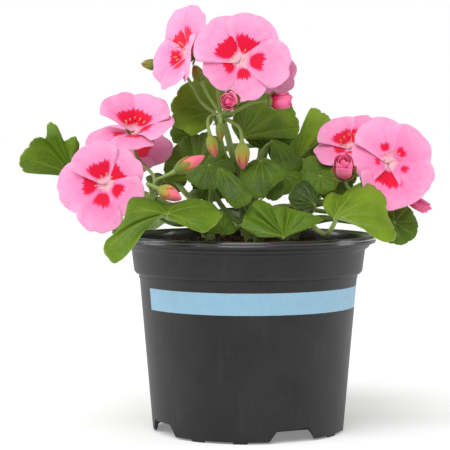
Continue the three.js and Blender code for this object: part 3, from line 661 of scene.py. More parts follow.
def blade_grid(centre, rings, look, chance):
    """The upper side of a blade: rows from its heart to its margin, columns from notch round to notch."""
    spokes, depth = 168, 20
    reaches = [np.linalg.norm(ring[1:] - centre, axis=1).mean() for ring in rings]
    shares = [0.0, *(reach / reaches[-1] for reach in reaches)]
    x = np.linspace(0, 1, spokes + 1)
    t = np.linspace(0.03, 1, depth)[:, None]
    lobe = np.abs(np.sin(math.pi * LOBES * x)) ** 0.75
    teeth = np.abs(np.sin(math.pi * LOBES * 3 * x + 0.15 * np.sin(9 * x))) ** 0.8
    outline = 0.95 + look["lobes"] * lobe + 0.015 * teeth
    outline += 0.012 * np.sin(TURN * (1.7 * x + chance.random()))
    outline *= 1 - 0.3 * (1 - smooth(0, 0.075, np.minimum(x, 1 - x)))
    reach = t * outline * look["grow"]
    side = (1 - smooth(0, 0.14, x)) - (1 - smooth(0, 0.14, 1 - x))
    columns = x * (len(rings[0]) - 2) - 0.55 * np.sin(math.pi * t) * side
    grid = np.zeros((depth, spokes + 1, 3))
    for k, share in enumerate(shares):
        others = [s for s in shares if s != share]
        weight = np.prod([(reach - s) / (share - s) for s in others], axis=0)
        curve = centre if k == 0 else spline(rings[k - 1][1:], columns.ravel()).reshape(depth, -1, 3)
        grid += weight[..., None] * curve
    return grid, x, t, reaches[-1]


def grow_leaf(shape, node, chance):
    look = dict(zip(LEAF_TRAITS, LEAF_LOOKS.get(node, PLAIN_LEAF)))
    centre, rows, foot = read_rows(node)
    rows = start_at_notch(rows, 2)
    grid, x, t, radius = blade_grid(centre, rows[:3], look, chance)
    normals = sheet_normals(grid)
    fold = np.abs((x * LOBES) % 1 - 0.5)
    lobe = np.minimum((x * LOBES).astype(int), LOBES - 1)
    depth = look["pleat"] * (0.75 + 0.5 * chance.random(LOBES))[lobe]
    pleats = depth * np.sin(math.pi * fold) * t * (1.15 - 0.35 * t)
    waves = sum(
        np.sin(TURN * (k * x + chance.random())) * amount * (0.6 + 0.8 * chance.random())
        for k, amount in ((1.3, 0.5), (2.6, 0.6), (4.7, 0.5))
    )
    ruffle = look["ruffle"] * waves * t**3
    hem = -0.03 * smooth(0.82, 1, t) * np.ones_like(x)
    quilt = 0.004 * np.sin(t * 26 + 2 * np.sin(x * LOBES * TURN)) * np.sin(x * LOBES * TURN) * t
    grid = grid + normals * (radius * (pleats + ruffle + hem + quilt))[..., None]
    uv = np.stack(np.broadcast_arrays(x[None, :], t), axis=-1)
    # Each leaf's tone from LEAF_LOOKS is partly its own colour and partly painted shade and painted light.
    tone = look["tone"] + chance.uniform(-0.05, 0.05)
    add_sheet(shape, grid, uv, LEAF_THICKNESS, "leaf_upper", "leaf_under", tone)
    heart_cap(shape, grid, centre, uv, tone)
    path, radii = stalk_path(rows[6:], foot, 1.5 * MM)
    start = centre + unit(path[0] - centre) * 0.3 * MM
    add_tube(shape, [start, *path], [radii[0] * 0.8, *radii], "stalk", flutes=0.04)


def heart_cap(shape, grid, centre, uv, tone):
    """Closes the small hole that the blade's first row leaves round its heart."""
    first = grid[0]
    normal = unit(np.cross(first[40] - centre, first[90] - centre))
    for lift, finish, order in ((0.0, "leaf_upper", 1), (-LEAF_THICKNESS * 0.4, "leaf_under", -1)):
        points = np.concatenate([[centre + normal * lift], first + normal * lift])
        faces = [(0, k, k + 1)[::order] for k in range(1, len(first))]
        maps = np.concatenate([[[0.5, 0.0]], uv[0]])
        shape.add(points, faces, finish, maps, tone)


# ------------------------------------------------------------------ flowers

# For each petal, from the upper one past the top gap round: width over length, and how big its red mark is.
PETAL_WIDTHS = (0.60, 0.55, 0.50, 0.52, 0.58)
PETAL_MARKS = (1.0, 0.7, 0.72, 0.7, 1.0)
PETAL_LAYERS = (4, 0, 1, 3, 2)  # the layer that each petal lies in, from the lowest
OWN_MARKS = {
    "flower_left_back": (1.0, 1.0, 1.0, 1.0, 1.0),
    "flower_right_front": (0.3, 0.25, 0.95, 0.25, 0.3),
}
SCOOPED_PETALS = {("flower_right_front", 2): 1.0}  # a petal that is curled up like a scoop
PETAL_THICKNESS = 0.35 * MM


def petal_grid(length, width, cup, back, chance):
    """A petal lying along +X with its face to +Z, from its claw at the origin."""
    v, u, uv = sheet_shares(24, 25)
    arc = 0.46 * (1 - np.sqrt(np.clip(1 - (0.985 * u) ** 2, 0, 1)))
    dent = 0.035 * np.exp(-((u - chance.uniform(-0.15, 0.15)) / 0.16) ** 2)
    wander = 0.010 * np.sin(u * 5 + TURN * chance.random())
    wander = wander + 0.005 * np.sin(u * 11 + TURN * chance.random())
    x = length * (v - (arc + dent + wander) * v**2.2)
    y = width * length * u * (0.10 + 0.90 * np.sin(v * math.pi / 2) ** 0.9)
    sway = chance.uniform(-0.04, 0.04)
    across = y / length
    z = cup * across**2 * 1.6 - back * v**2.2 + 0.035 * across
    z = z + 0.05 * np.sin(v * math.pi) ** 2
    z = z + 0.022 * v**3 * np.sin(u * 4.2 + TURN * chance.random()) + sway * v**2
    z = z + 0.010 * v**2 * np.sin(u * 9 + TURN * chance.random())
    z = z + 0.004 * np.cos(u * 26) * np.sin(v * math.pi)
    return np.stack(np.broadcast_arrays(x, y, length * z), axis=-1), uv


def placed(grid, origin, x_axis, y_axis, z_axis):
    """A grid that was made along X, Y and Z, moved to an origin and three other axes."""
    return origin + grid[..., :1] * x_axis + grid[..., 1:2] * y_axis + grid[..., 2:] * z_axis


def grow_flower(shape, node, chance):
    centre, rows, foot = read_rows(node)
    rows = start_at_notch(rows, 2)
    rim = rows[2]
    face = unit(centre - rows[6].mean(axis=0))
    for k, layer in enumerate(PETAL_LAYERS):
        shoulders = rim[3 * k + 1 : 3 * k + 3]
        ahead = unit(shoulders.mean(axis=0) - centre)
        length = np.linalg.norm(shoulders - centre, axis=1).mean() * 1.02
        beside = unit(np.cross(face, ahead))
        up = np.cross(ahead, beside)
        scoop = SCOOPED_PETALS.get((node, k), 0.0)
        width = (PETAL_WIDTHS[k] + 0.14 * scoop) * chance.uniform(0.96, 1.04)
        cup = chance.uniform(-0.02, 0.10) + 0.8 * scoop
        back = chance.uniform(0.03, 0.10) - 0.24 * scoop
        grid, uv = petal_grid(length, width, cup, back, chance)
        level = centre + face * (0.28 * MM * layer - 0.8 * MM)
        # a random tone per petal, running from painted shade at 0 to painted light at 1
        tone = chance.uniform(0.2, 0.9)
        mark = OWN_MARKS.get(node, PETAL_MARKS)[k] * chance.uniform(0.94, 1.03)
        grid = placed(grid, level, ahead, beside, up)
        add_sheet(shape, grid, uv, PETAL_THICKNESS, "petal", tone=tone, mark=mark)
    add_calyx(shape, centre, face, unit(rim[0] - centre), chance)
    path, radii = stalk_path(rows[6:], foot, 0.8 * MM)
    add_tube(shape, [centre - face * 0.6 * MM, *path], [0.9 * MM, *radii], "stalk", steps=44, sides=8)
    add_stamens(shape, centre - face * 0.3 * MM, face, rim[0] - centre)


def add_calyx(shape, centre, face, ahead, chance):
    """Five pointed sepals, behind the gaps between the petals."""
    base = centre - face * 4.5 * MM
    v, u, uv = sheet_shares(10, 7)
    wide = 1.7 * MM * np.sin(math.pi * (0.16 + 0.84 * v)) ** 0.8
    hollow = 0.35 * wide * (1 - u**2)
    for k in range(5):
        turned = rotated(ahead, face, TURN * k / 5)
        length = chance.uniform(8.0, 9.5) * MM
        out = length * v * (0.55 + 0.35 * v)
        rise = length * (0.62 * v - 0.28 * v**2)
        beside = np.cross(face, turned)
        grid = base + (1.2 * MM + out)[..., None] * turned + (wide * u)[..., None] * beside
        grid = grid + (rise - hollow)[..., None] * face
        add_sheet(shape, grid, uv, 0.3 * MM, "sepal")


def rotated(vector, axis, angle):
    return np.array(Matrix.Rotation(angle, 3, Vector(axis)) @ Vector(vector))


def add_stamens(shape, origin, up, ahead):
    """Adds a copy of the stamens, which were made standing along +Z."""
    ahead = unit(ahead - up * np.dot(ahead, up))
    points = placed(mesh_points(STAMENS), origin, ahead, np.cross(up, ahead), up)
    names = [finish for m in STAMENS.materials for finish, paint in PAINTS.items() if paint == m]
    for slot, finish in enumerate(names):
        used = [list(p.vertices) for p in STAMENS.polygons if p.material_index == slot]
        if not used:
            continue
        keep = sorted({v for face in used for v in face})
        renumbered = {v: k for k, v in enumerate(keep)}
        height = points[keep] @ up
        share = (height - height.min()) / np.ptp(height)
        uv = np.stack([share * 0 + 0.3, share], axis=-1)
        shape.add(points[keep], [[renumbered[v] for v in face] for face in used], finish, uv)


# ------------------------------------------------------------------ buds

# How far the green sepals reach up the bud. A bud that isn't named is open, and shows furled petals.
SEPAL_COVER = {
    "bud_green": 1.0,
    "bud_upper": 1.0,
    "bud_far_left": 1.0,
    "bud_hanging_left": 0.86,
    "bud_hanging_right": 0.9,
    "bud_left_upper": 0.6,
    "bud_left_lower": 0.55,
}
RIPE_BUDS = ("bud_hanging_left", "bud_hanging_right", "bud_left_lower")  # with sepals turning orange


def grow_bud(shape, node, chance):
    tip, rows, foot = read_rows(node)
    body = rows[:5]
    base = body[-1].mean(axis=0)
    axis = unit(tip - base)
    length = np.linalg.norm(tip - base)
    radius = max(np.linalg.norm(row - row.mean(axis=0), axis=1).mean() for row in body)
    cover = SEPAL_COVER.get(node)
    if cover is None:
        add_rosette(shape, base, axis, length, radius, chance)
    else:
        add_furled(shape, base, axis, length, radius, "sepal" if cover >= 1 else "closed_petal", chance)
    reach = (cover or 0.3) * length
    sepals = "pale_sepal" if node in RIPE_BUDS else "sepal"
    add_bud_sepals(shape, base, axis, reach, radius, length, sepals, chance)
    path, radii = stalk_path(rows[5:], foot, 0.8 * MM)
    radii = [radius * 0.5, radii[0] * 1.3, *radii[1:]]
    add_tube(shape, [base + axis * 0.6 * MM, *path], radii, "stalk", sides=8)


def bud_girth(share):
    """The radius along a bud, from its base to its tip, over its widest radius."""
    return np.sin(math.pi * np.clip(share, 0, 1) ** 0.8) ** 0.6 * (1 - 0.25 * share) * 1.08


def add_furled(shape, base, axis, length, radius, finish, chance):
    """Petals rolled tight round each other, with a slow twist towards the tip."""
    rows, sides = 26, 24
    v = np.linspace(0.02, 0.995, rows)[:, None]
    turn = np.arange(sides) / sides * TURN
    twist = turn + 2.2 * v
    girth = radius * bud_girth(v) * (1 + 0.09 * np.sin(3 * twist) * smooth(0.3, 0.8, v))
    grid = wrapped(base, axis, length * v, girth, turn)
    uv = np.stack(np.broadcast_arrays(np.abs(turn / math.pi - 1), v), axis=-1)
    add_capped(shape, grid, [base, base + axis * length], finish, uv, chance.uniform(0.3, 0.7))


def add_bud_sepals(shape, base, axis, reach, radius, length, finish, chance):
    """Five sepals that hug the bud, each with a raised middle and a tip that stands off."""
    v, u, uv = sheet_shares(14, 9)
    for k in range(5):
        middle = TURN * k / 5 + chance.uniform(-0.08, 0.08)
        tall = reach * chance.uniform(0.92, 1.06)
        spread = 0.72 * (1 - v**2.4) ** 0.8 + 0.015
        turn = middle + spread * u
        share = np.clip(v * tall / length, 0, 1)
        hug = radius * bud_girth(np.maximum(share, 0.05)) * (1.07 + 0.03 * (k % 2)) + 0.12 * MM
        hug = hug + 0.06 * radius * (1 - np.abs(u)) ** 2 + 0.10 * radius * v**6
        grid = wrapped(base, axis, tall * v, hug, turn)
        add_sheet(shape, grid[:, ::-1], uv[:, ::-1], 0.25 * MM, finish)


def add_rosette(shape, base, axis, length, radius, chance):
    """A half-open bud: a rolled heart, with petals wrapped round it that lean out at the top."""
    add_furled(shape, base, axis, length * 0.93, radius * 0.6, "rose_petal", chance)
    v, u, uv = sheet_shares(16, 17)
    count = 8
    for k in range(count):
        share = (k + 1) / count
        middle = k * 2.4 + chance.uniform(-0.2, 0.2)
        spread = 1.3 - 0.35 * share
        tall = length * (1.0 - 0.13 * share) * chance.uniform(0.95, 1.05)
        wide = radius * (0.42 + 0.55 * share)
        top = tall * (1 - 0.2 * np.abs(u) ** 3 + 0.025 * np.sin(4 * u + TURN * chance.random()))
        bowl = np.sin(math.pi * (0.10 + 0.62 * v)) ** 0.8
        lean = 0.12 * share * v**5
        girth = wide * (bowl * (1 + 0.07 * u) + lean)
        turn = middle + spread * u * (0.5 + 0.5 * v)
        grid = wrapped(base, axis, top * v, girth, turn)
        add_sheet(shape, grid[:, ::-1], uv[:, ::-1], 0.3 * MM, "rose_petal", tone=0.6)


# ------------------------------------------------------------------ stems and flower stalks


def add_bract(shape, root, way, up, length, width):
    """A small pointed scale that grows at a joint."""
    v, u, uv = sheet_shares(8, 5)
    beside = unit(np.cross(up, way))
    wide = width * (1 - v**1.6) * (0.75 + 0.5 * v)
    lift = length * 0.25 * v**2 + 0.3 * wide * u**2
    grid = root + (length * v)[..., None] * way + (wide * u)[..., None] * beside + lift[..., None] * up
    add_sheet(shape, grid, uv, 0.25 * MM, "sepal")


def grow_stem(shape, node, chance):
    one, rows, other = read_rows(node)
    top, foot = (one, other) if one[2] > other[2] else (other, one)
    if one[2] < other[2]:
        rows = rows[::-1]
    centres = [top, *[row.mean(axis=0) for row in rows], foot]
    radii = [np.linalg.norm(row - row.mean(axis=0), axis=1).mean() for row in rows]
    radii = [radii[0] * 0.7, *radii, radii[-1]]
    steps = 40
    at = np.linspace(0, len(centres) - 1, steps)
    path = spline(centres, at)
    width = spline(np.array(radii)[:, None], at)[:, 0]
    joints = np.cumsum(chance.uniform(6, 9, 8))  # the steps at which the stem swells and bears scales
    swell = sum(0.22 * np.exp(-(((np.arange(steps) - j) / 1.1) ** 2)) for j in joints)
    add_tube(shape, path, width * (0.93 + swell), "stem", sides=14, steps=80, flutes=0.03)
    up = unit(top - foot)
    for j in joints[joints < steps - 2]:
        spot = int(j)
        for way in (0.0, 2.6):
            out = round_axis(j / 2 + way, ring_axes(up))
            add_bract(shape, path[spot] + out * width[spot], unit(out + 0.6 * up), out, 4 * MM, 1.6 * MM)


def grow_flower_stalk(shape, node, chance):
    top, rows, foot = read_rows(node)
    knob = rows[1].mean(axis=0)
    path, radii = stalk_path(rows[3:], foot, 1.5 * MM)
    size = np.linalg.norm(rows[1] - knob, axis=1).mean()
    path = [top, (top + knob) / 2, knob, *path]
    radii = [size * 0.45, size * 0.9, size, *radii]
    add_tube(shape, path, radii, "stalk", sides=14, steps=70, flutes=0.03)
    up = unit(top - knob)
    for k in range(7):
        out = round_axis(TURN * k / 7 + chance.uniform(-0.15, 0.15), ring_axes(up))
        root = knob + out * size * 0.8 - up * size * 0.5
        add_bract(shape, root, unit(out - up * 0.2), up, chance.uniform(4, 5.5) * MM, 1.3 * MM)


# ------------------------------------------------------------------ things that repeat


class Growth:
    """A Geometry Nodes tree in the making."""

    def __init__(self, name, **inputs):
        self.tree = bpy.data.node_groups.new(name, "GeometryNodeTree")
        sockets = self.tree.interface
        self.ids = {}
        for label, (kind, default) in inputs.items():
            socket = sockets.new_socket(label, in_out="INPUT", socket_type="NodeSocket" + kind)
            self.ids[label] = socket.identifier
            if default is not None:
                socket.default_value = default
        sockets.new_socket("Geometry", in_out="OUTPUT", socket_type="NodeSocketGeometry")
        self.given = self.tree.nodes.new("NodeGroupInput")

    def input(self, label):
        return next(s for s in self.given.outputs if s.identifier == self.ids[label])

    def add(self, kind, settings=None, inputs=None, output=0):
        node = self.tree.nodes.new(kind)
        for key, value in (settings or {}).items():
            setattr(node, key, value)
        for key, value in (inputs or {}).items():
            socket = Paint.find(node.inputs, key)
            for one in value if isinstance(value, list) else [value]:
                if isinstance(one, bpy.types.NodeSocket):
                    self.tree.links.new(one, socket)
                else:
                    socket.default_value = one
        return Paint.find(node.outputs, output)

    def math(self, operation, first, second):
        return self.add("ShaderNodeMath", {"operation": operation}, {0: first, 1: second})

    def strew(self, spots, item, turn, size, finish=None):
        """Ends the tree with a copy of the item on each of the spots."""
        inputs = {"Points": spots, "Instance": item, "Rotation": turn, "Scale": size}
        strewn = self.add("GeometryNodeInstanceOnPoints", inputs=inputs)
        real = self.add("GeometryNodeRealizeInstances", inputs={0: strewn})
        if finish is not None:
            real = self.add("GeometryNodeSetMaterial", inputs={0: real, "Material": finish})
        self.tree.links.new(real, self.tree.nodes.new("NodeGroupOutput").inputs[0])

    def grow(self, on=None, **values):
        """The tree's result as a plain mesh, grown on a mesh or on nothing."""
        host = new_object("host", on or bpy.data.meshes.new("host"))
        modifier = host.modifiers.new("growth", "NODES")
        modifier.node_group = self.tree
        for label, value in values.items():
            modifier[self.ids[label]] = value
        mesh = worked_out(host)
        bpy.data.objects.remove(host)
        return mesh


def stamen_growth():
    """A ring of stamens with their anthers, standing along +Z and leaning out and in."""
    growth = Growth("stamens", Stalk=("Material", None), Anther=("Material", None))
    count, length, seed = 9, 6 * MM, 3
    tip = (0.3 * length, 0, length)

    def chance(low, high):
        inputs = {"Min_001": low, "Max_001": high, "Seed": seed}
        return growth.add("FunctionNodeRandomValue", {"data_type": "FLOAT"}, inputs, output="Value_001")

    def finished(part, finish):
        inputs = {"Geometry": part, "Material": growth.input(finish)}
        return growth.add("GeometryNodeSetMaterial", inputs=inputs)

    course = {"Start": (0.02 * length, 0, 0), "Middle": (0.06 * length, 0, 0.6 * length), "End": tip}
    line = growth.add("GeometryNodeCurveQuadraticBezier", inputs={"Resolution": 6, **course})
    ring = growth.add("GeometryNodeCurvePrimitiveCircle", inputs={"Resolution": 5, "Radius": 0.2 * MM})
    bent = {"Curve": line, "Profile Curve": ring, "Fill Caps": True}
    stalk = finished(growth.add("GeometryNodeCurveToMesh", inputs=bent), "Stalk")
    ball = growth.add("GeometryNodeMeshIcoSphere", inputs={"Radius": 0.55 * MM, "Subdivisions": 2})
    long = {"Geometry": ball, "Translation": tip, "Scale": (1.0, 0.7, 1.5)}
    ball = finished(growth.add("GeometryNodeTransform", inputs=long), "Anther")
    one = growth.add("GeometryNodeJoinGeometry", inputs={0: [stalk, ball]})
    spots = growth.add("GeometryNodeMeshCircle", inputs={"Vertices": count, "Radius": 0.5 * MM})
    turn = growth.math("MULTIPLY", growth.add("GeometryNodeInputIndex"), TURN / count)
    angles = growth.add("ShaderNodeCombineXYZ", inputs={1: chance(-0.25, 0.4), 2: turn})
    growth.strew(spots, one, angles, chance(0.75, 1.1))
    return growth


def crumb_growth():
    """Lumpy crumbs strewn over a surface, each turned and stretched its own way."""
    growth = Growth(
        "crumbs", Surface=("Geometry", None), PerArea=("Float", 3e5), Size=("Float", 1.0 * MM),
        Long=("Float", 1.0), Seed=("Int", 1), Finish=("Material", None),
    )
    seed = growth.input("Seed")
    spots = growth.add(
        "GeometryNodeDistributePointsOnFaces", {"distribute_method": "RANDOM"},
        {"Mesh": growth.input("Surface"), "Density": growth.input("PerArea"), "Seed": seed},
    )
    ball = growth.add("GeometryNodeMeshIcoSphere", inputs={"Radius": 0.5, "Subdivisions": 2})
    where = growth.add("GeometryNodeInputPosition")
    lumps = growth.add("ShaderNodeTexNoise", {}, {"Vector": where, "Scale": 2.4, "Detail": 1.0}, output=1)
    shift = growth.add("ShaderNodeVectorMath", {"operation": "SUBTRACT"}, {0: lumps, 1: (0.5, 0.5, 0.5)})
    ball = growth.add("GeometryNodeSetPosition", inputs={"Geometry": ball, "Offset": shift})
    stretch = growth.add("ShaderNodeCombineXYZ", inputs={0: growth.input("Long"), 1: 1.0, 2: 0.6})
    ball = growth.add("GeometryNodeTransform", inputs={"Geometry": ball, "Scale": stretch})

    def chance(kind, low, high, offset):
        tail = {"FLOAT": "_001", "FLOAT_VECTOR": ""}[kind]
        inputs = {"Min" + tail: low, "Max" + tail: high, "Seed": growth.math("ADD", seed, offset)}
        return growth.add("FunctionNodeRandomValue", {"data_type": kind}, inputs, output="Value" + tail)

    turn = chance("FLOAT_VECTOR", (0, 0, 0), (TURN, TURN, TURN), 5)
    size = growth.math("MULTIPLY", growth.input("Size"), chance("FLOAT", 0.4, 1.6, 9))
    growth.strew(spots, ball, turn, size, growth.input("Finish"))
    return growth


# ------------------------------------------------------------------ the pot and what it holds

LEDGE = RIM - 19.1 * MM  # the height at which the wall steps out to the collar
FOOT = LIP - 15.7 * MM  # the radius that the pot stands on
FLOOR_UNDER = 5.0 * MM  # how high the floor is above the ground


def turned_shape(profile, segments):
    """The rows of points that a section in (radius, height) makes when it is turned about Z."""
    turn = np.arange(segments) / segments * TURN
    radius, height = np.asarray(profile).T[..., None]
    return np.stack(np.broadcast_arrays(radius * np.cos(turn), radius * np.sin(turn), height), axis=-1)


def rounded(profile, radius):
    """The section with each of its corners rounded off, as far as its sides are long enough."""
    points = np.asarray(profile, dtype=float)
    made = [points[0]]
    for before, corner, after in zip(points, points[1:], points[2:]):
        a, b = before - corner, after - corner
        cut = min(radius, np.linalg.norm(a) / 2.6, np.linalg.norm(b) / 2.6)
        start, end = corner + unit(a) * cut, corner + unit(b) * cut
        for t in np.linspace(0, 1, 4):
            made.append((1 - t) ** 2 * start + 2 * t * (1 - t) * corner + t**2 * end)
    return np.array([*made, points[-1]])


def pot_section():
    """Out along the underside, up the outside, over the rolled lip and down the inside, in mm."""
    lip, rim, ledge = LIP / MM, RIM / MM, LEDGE / MM
    collar, body, foot = lip - 5.5, lip - 9.3, FOOT / MM
    floor = FLOOR_UNDER / MM
    under = [(0, 0), (14, 0), (18, 0.05), (19.6, floor - 0.6), (21, floor), (foot - 3.2, floor)]
    skirt = [(foot - 1.9, floor - 0.8), (foot - 1.5, 0.8), (foot, 0.8), (foot + 0.12, 2.4)]
    wall = [(body - 0.05, ledge - 2.2), (body + 0.25, ledge - 1.9), (body + 0.3, ledge - 0.2)]
    step = [(collar - 2.1, ledge + 0.3), (collar - 1.2, ledge + 1.6), (collar - 1.1, ledge + 2.4)]
    band = [(collar + 0.05, rim - 7.6), (collar + 0.7, rim - 6.6), (collar + 2.0, rim - 5.9)]
    roll = [
        (collar + 2.5, rim - 4.6), (lip - 1.5, rim - 4.1), (lip - 0.25, rim - 3.6), (lip, rim - 2.6),
        (lip - 0.35, rim - 1.9), (lip - 0.1, rim - 1.3), (lip - 0.5, rim - 0.35), (lip - 1.6, rim),
        (lip - 2.8, rim - 0.15), (lip - 3.6, rim - 0.9), (collar + 0.9, rim - 1.1),
    ]
    inside = [
        (collar, rim - 5.6), (collar - 1.2, rim - 7.2), (collar - 2.4, ledge + 2.6),
        (body - 1.2, ledge + 0.8), (foot - 1.2, floor + 1.0), (21.4, floor + 1.0), (18.2, 1.0), (0, 1.0),
    ]
    return rounded([*under, *skirt, *wall, *step, *band, *roll, *inside], 0.6) * MM


def box_cutter(corners, depth):
    """A prism: the corners are (x, z) seen from outside, and it runs depth along +Y."""
    near = [(x, 0, z) for x, z in corners]
    far = [(x, depth, z) for x, z in corners]
    size = len(corners)
    faces = [tuple(range(size)), tuple(range(2 * size - 1, size - 1, -1))]
    faces += [(k, k + size, (k + 1) % size + size, (k + 1) % size) for k in range(size)]
    return np.array(near + far), faces


def cut_away(piece, cutters):
    """The mesh that is left of a piece when the cutters' solids are taken out of it."""
    shape = Shape()
    for points, faces in cutters:
        shape.add(points, faces, "pot")
    tool = shape.piece("cutter")
    modifier = piece.modifiers.new("notches", "BOOLEAN")
    modifier.object = tool
    modifier.solver = "EXACT"
    modifier.use_self = True
    mesh = worked_out(piece)
    for spent in (piece, tool):
        bpy.data.objects.remove(spent)
    return mesh


def turned_cutter(outline, depth, angle, shift, upright):
    """A prism of an outline in mm, moved and turned about Z. An upright one is cut from below."""
    points, faces = box_cutter([(x * MM, z * MM) for x, z in outline], depth)
    if upright:
        points = points[:, [0, 2, 1]]
        faces = [tuple(reversed(face)) for face in faces]
    return spun(points + shift, angle), faces


NOTCH_SIDE = [(13.5, -1.0), (9.4, 5.2), (8.5, 6.4), (7.2, 6.6)]
NOTCH = [(-x, z) for x, z in NOTCH_SIDE[:1]] + NOTCH_SIDE + [(-x, z) for x, z in NOTCH_SIDE[:0:-1]]
HOLE = [(3.5 * math.cos(a), 3.5 * math.sin(a)) for a in np.arange(28) / 28 * TURN]


def build_pot():
    """The turned pot, less four notches and four drain holes, with eight pads to stand on."""
    section = pot_section()
    shape = Shape()
    ends = [(0, 0, section[0][1]), (0, 0, section[-1][1])]
    add_capped(shape, turned_shape(section[1:-1], 176), ends, "pot")
    quarters = [math.radians(90 * k) for k in range(4)]
    cutters = []
    for angle in quarters:
        turn = angle - math.radians(62.5)
        cutters.append(turned_cutter(NOTCH, 9 * MM, turn, (0, -FOOT - 4.5 * MM, 0), False))
        cutters.append(turned_cutter(HOLE, 8 * MM, turn, (0, -31 * MM, 1.5 * MM), True))
    whole = Shape()
    whole.take(cut_away(shape.piece("uncut_pot"), cutters), "pot")
    for angle in quarters:
        for aside in (-13, 13):
            add_pad(whole, angle + math.radians(aside - 17.5))
    return whole.piece("nursery_pot", sharp=40)


def add_pad(shape, angle):
    """A low rounded pad under the foot, 7 mm long."""
    half, thick = 3.5 * MM, 0.75 * MM
    u = np.linspace(-1, 1, 9)[:, None]
    v = np.arange(8)[None, ::-1] / 8 * TURN
    ring = 1 - 0.25 * np.abs(u) ** 6
    x = half * u + 0 * v
    y = thick - FOOT + 0.72 * MM * np.sign(np.cos(v)) * np.abs(np.cos(v)) ** 0.6 * ring
    z = thick + thick * np.sign(np.sin(v)) * np.abs(np.sin(v)) ** 0.6 * ring
    ends = np.array([(way * half, thick - FOOT, thick) for way in (-1, 1)])
    add_capped(shape, spun(np.stack([x, y, z], axis=-1), angle), spun(ends, angle), "pot")


def spun(points, angle):
    return points @ np.array(Matrix.Rotation(angle, 3, "Z")).T


def mix_height(radius, turn):
    """The heaped and uneven surface of the potting mix."""
    wall = LIP - 7.6 * MM
    share = np.clip(radius / wall, 0, 1)
    top = RIM - 8 * MM + 4.5 * MM * (1 - share**2) ** 0.8
    x, y = radius * np.cos(turn) / MM, radius * np.sin(turn) / MM
    lumps = 0.5 * np.sin(x * 0.31 + 1.1 * np.sin(y * 0.23))
    lumps = lumps + 0.45 * np.sin(y * 0.37 + 1.3 * np.sin(x * 0.19))
    fine = 0.22 * np.sin(x * 1.13 + 0.7 * y) * np.sin(y * 0.93 - 0.4 * x)
    return top + (lumps + fine) * MM * (1 - 0.5 * share**4)


# The crumbs: how many to the square metre, their size in mm, how long for their width, and their seed.
CRUMBS = {"mix": (1.5e5, 1.3, 1.0, 11), "bark": (8e4, 1.7, 2.3, 23), "perlite": (9e3, 1.5, 1.0, 37)}


def build_mix():
    """A solid that fills the pot, with a heaped top that crumbs are strewn over."""
    segments, rings = 144, 48
    turn = np.arange(segments) / segments * TURN
    wall = LIP - 7.9 * MM
    low = FLOOR_UNDER + 1.3 * MM
    radius = np.linspace(wall, 0.6 * MM, rings)[:, None]
    x, y = radius * np.cos(turn), radius * np.sin(turn)
    top = np.stack([x, y, mix_height(radius, turn[None, :])], axis=-1)
    side = [
        (22 * MM, low), (FOOT - 2.4 * MM, low),
        (LIP - 11.2 * MM, LEDGE + 0.4 * MM), (wall - 1.2 * MM, LEDGE + 3.2 * MM),
    ]
    shape = Shape()
    grid = np.concatenate([turned_shape(side, segments), top])
    add_capped(shape, grid, [(0, 0, low), top[-1].mean(axis=0)], "mix")
    surface = bpy.data.meshes.new("mix_surface")
    surface.from_pydata(top[2:].reshape(-1, 3).tolist(), [], grid_faces(rings - 2, segments, closed=True))
    crumbs = crumb_growth()
    for finish, (amount, size, long, seed) in CRUMBS.items():
        kind = {"PerArea": amount, "Size": size * MM, "Long": long, "Seed": seed}
        shape.take(crumbs.grow(surface, Finish=PAINTS[finish], **kind), finish)
    return shape.piece("loose_mix")


# ------------------------------------------------------------------ growing it all


def settle(piece, node):
    """Fixes a finished piece to the frame, in place of its node."""
    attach(piece, "root")
    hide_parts(node)


# For each kind of node: what grows it, its first seed, and its slot.
GROWERS = {
    "leaf": (grow_leaf, 100, "leaf"),
    "flower_stalk": (grow_flower_stalk, 1500, "stem"),
    "flower": (grow_flower, 500, "petal"),
    "bud": (grow_bud, 900, "bud"),
    "stem": (grow_stem, 1300, "stem"),
}
STAMENS = stamen_growth().grow(Stalk=PAINTS["filament"], Anther=PAINTS["anther"])

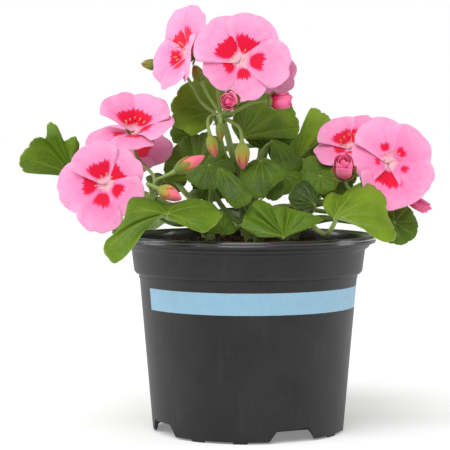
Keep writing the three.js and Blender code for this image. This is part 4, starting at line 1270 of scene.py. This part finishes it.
settle(build_pot(), "pot")
settle(build_mix(), "potting_mix")
for number, node in enumerate(sorted(frame["nodes"])):
    for kind, (grow, seed, slot) in GROWERS.items():
        if node.startswith(kind + "_"):
            shape = Shape()
            grow(shape, node, np.random.default_rng(seed + number))
            settle(shape.piece(node.removeprefix(kind + "_") + "_" + kind), node)
            break


# ------------------------------------------------------------------ floor, light and camera


def build_floor():
    shape = Shape()
    size = 12.0
    corners = [(-size, -size, 0), (size, -size, 0), (size, size, 0), (-size, size, 0)]
    shape.add(corners, [(0, 1, 2, 3)], "floor")
    shape.piece("floor")


def add_softbox(name, place, aim, size, power):
    light = bpy.data.lights.new(name, "AREA")
    light.shape = "RECTANGLE"
    light.size, light.size_y = size
    light.energy = power
    lamp = new_object(name, light)
    lamp.location = place
    lamp.rotation_euler = (Vector(aim) - Vector(place)).to_track_quat("-Z", "Y").to_euler()


def light_studio():
    """White all round for the camera, a dimmer light on the part, and a broad soft sun from the front."""
    world = bpy.data.worlds.new("studio")
    world.use_nodes = True
    tree = world.node_tree
    sky = tree.nodes["Background"]
    sky.inputs["Color"].default_value = (1, 1, 1, 1)
    seen = tree.nodes.new("ShaderNodeLightPath")
    strength = tree.nodes.new("ShaderNodeMapRange")
    strength.inputs["To Min"].default_value = 0.36
    strength.inputs["To Max"].default_value = 1.0
    tree.links.new(seen.outputs["Is Camera Ray"], strength.inputs["Value"])
    tree.links.new(strength.outputs[0], sky.inputs["Strength"])
    bpy.context.scene.world = world
    sun = bpy.data.lights.new("soft_sun", "SUN")
    sun.energy = 2.1
    sun.angle = math.radians(55)
    new_object("soft_sun", sun).rotation_euler = (math.radians(38), math.radians(-16), 0)
    middle = (-0.01, 0, 0.11)
    for name, way in (("right_side", 1.0), ("left_side", -1.0)):
        add_softbox(name, (way, 0.1, 0.35), middle, (0.4, 0.9), 3)


def place_camera():
    camera = bpy.data.cameras.new("camera")
    camera.sensor_width = 36
    camera.lens = 147.3
    camera.clip_end = 50
    eye = new_object("camera", camera)
    eye.location = (0, -0.9, 0.15)
    eye.rotation_euler = (math.radians(90 - 3.16), 0, math.radians(0.725))
    bpy.context.scene.camera = eye


build_floor()
light_studio()
place_camera()
bpy.context.scene.view_settings.view_transform = "Standard"
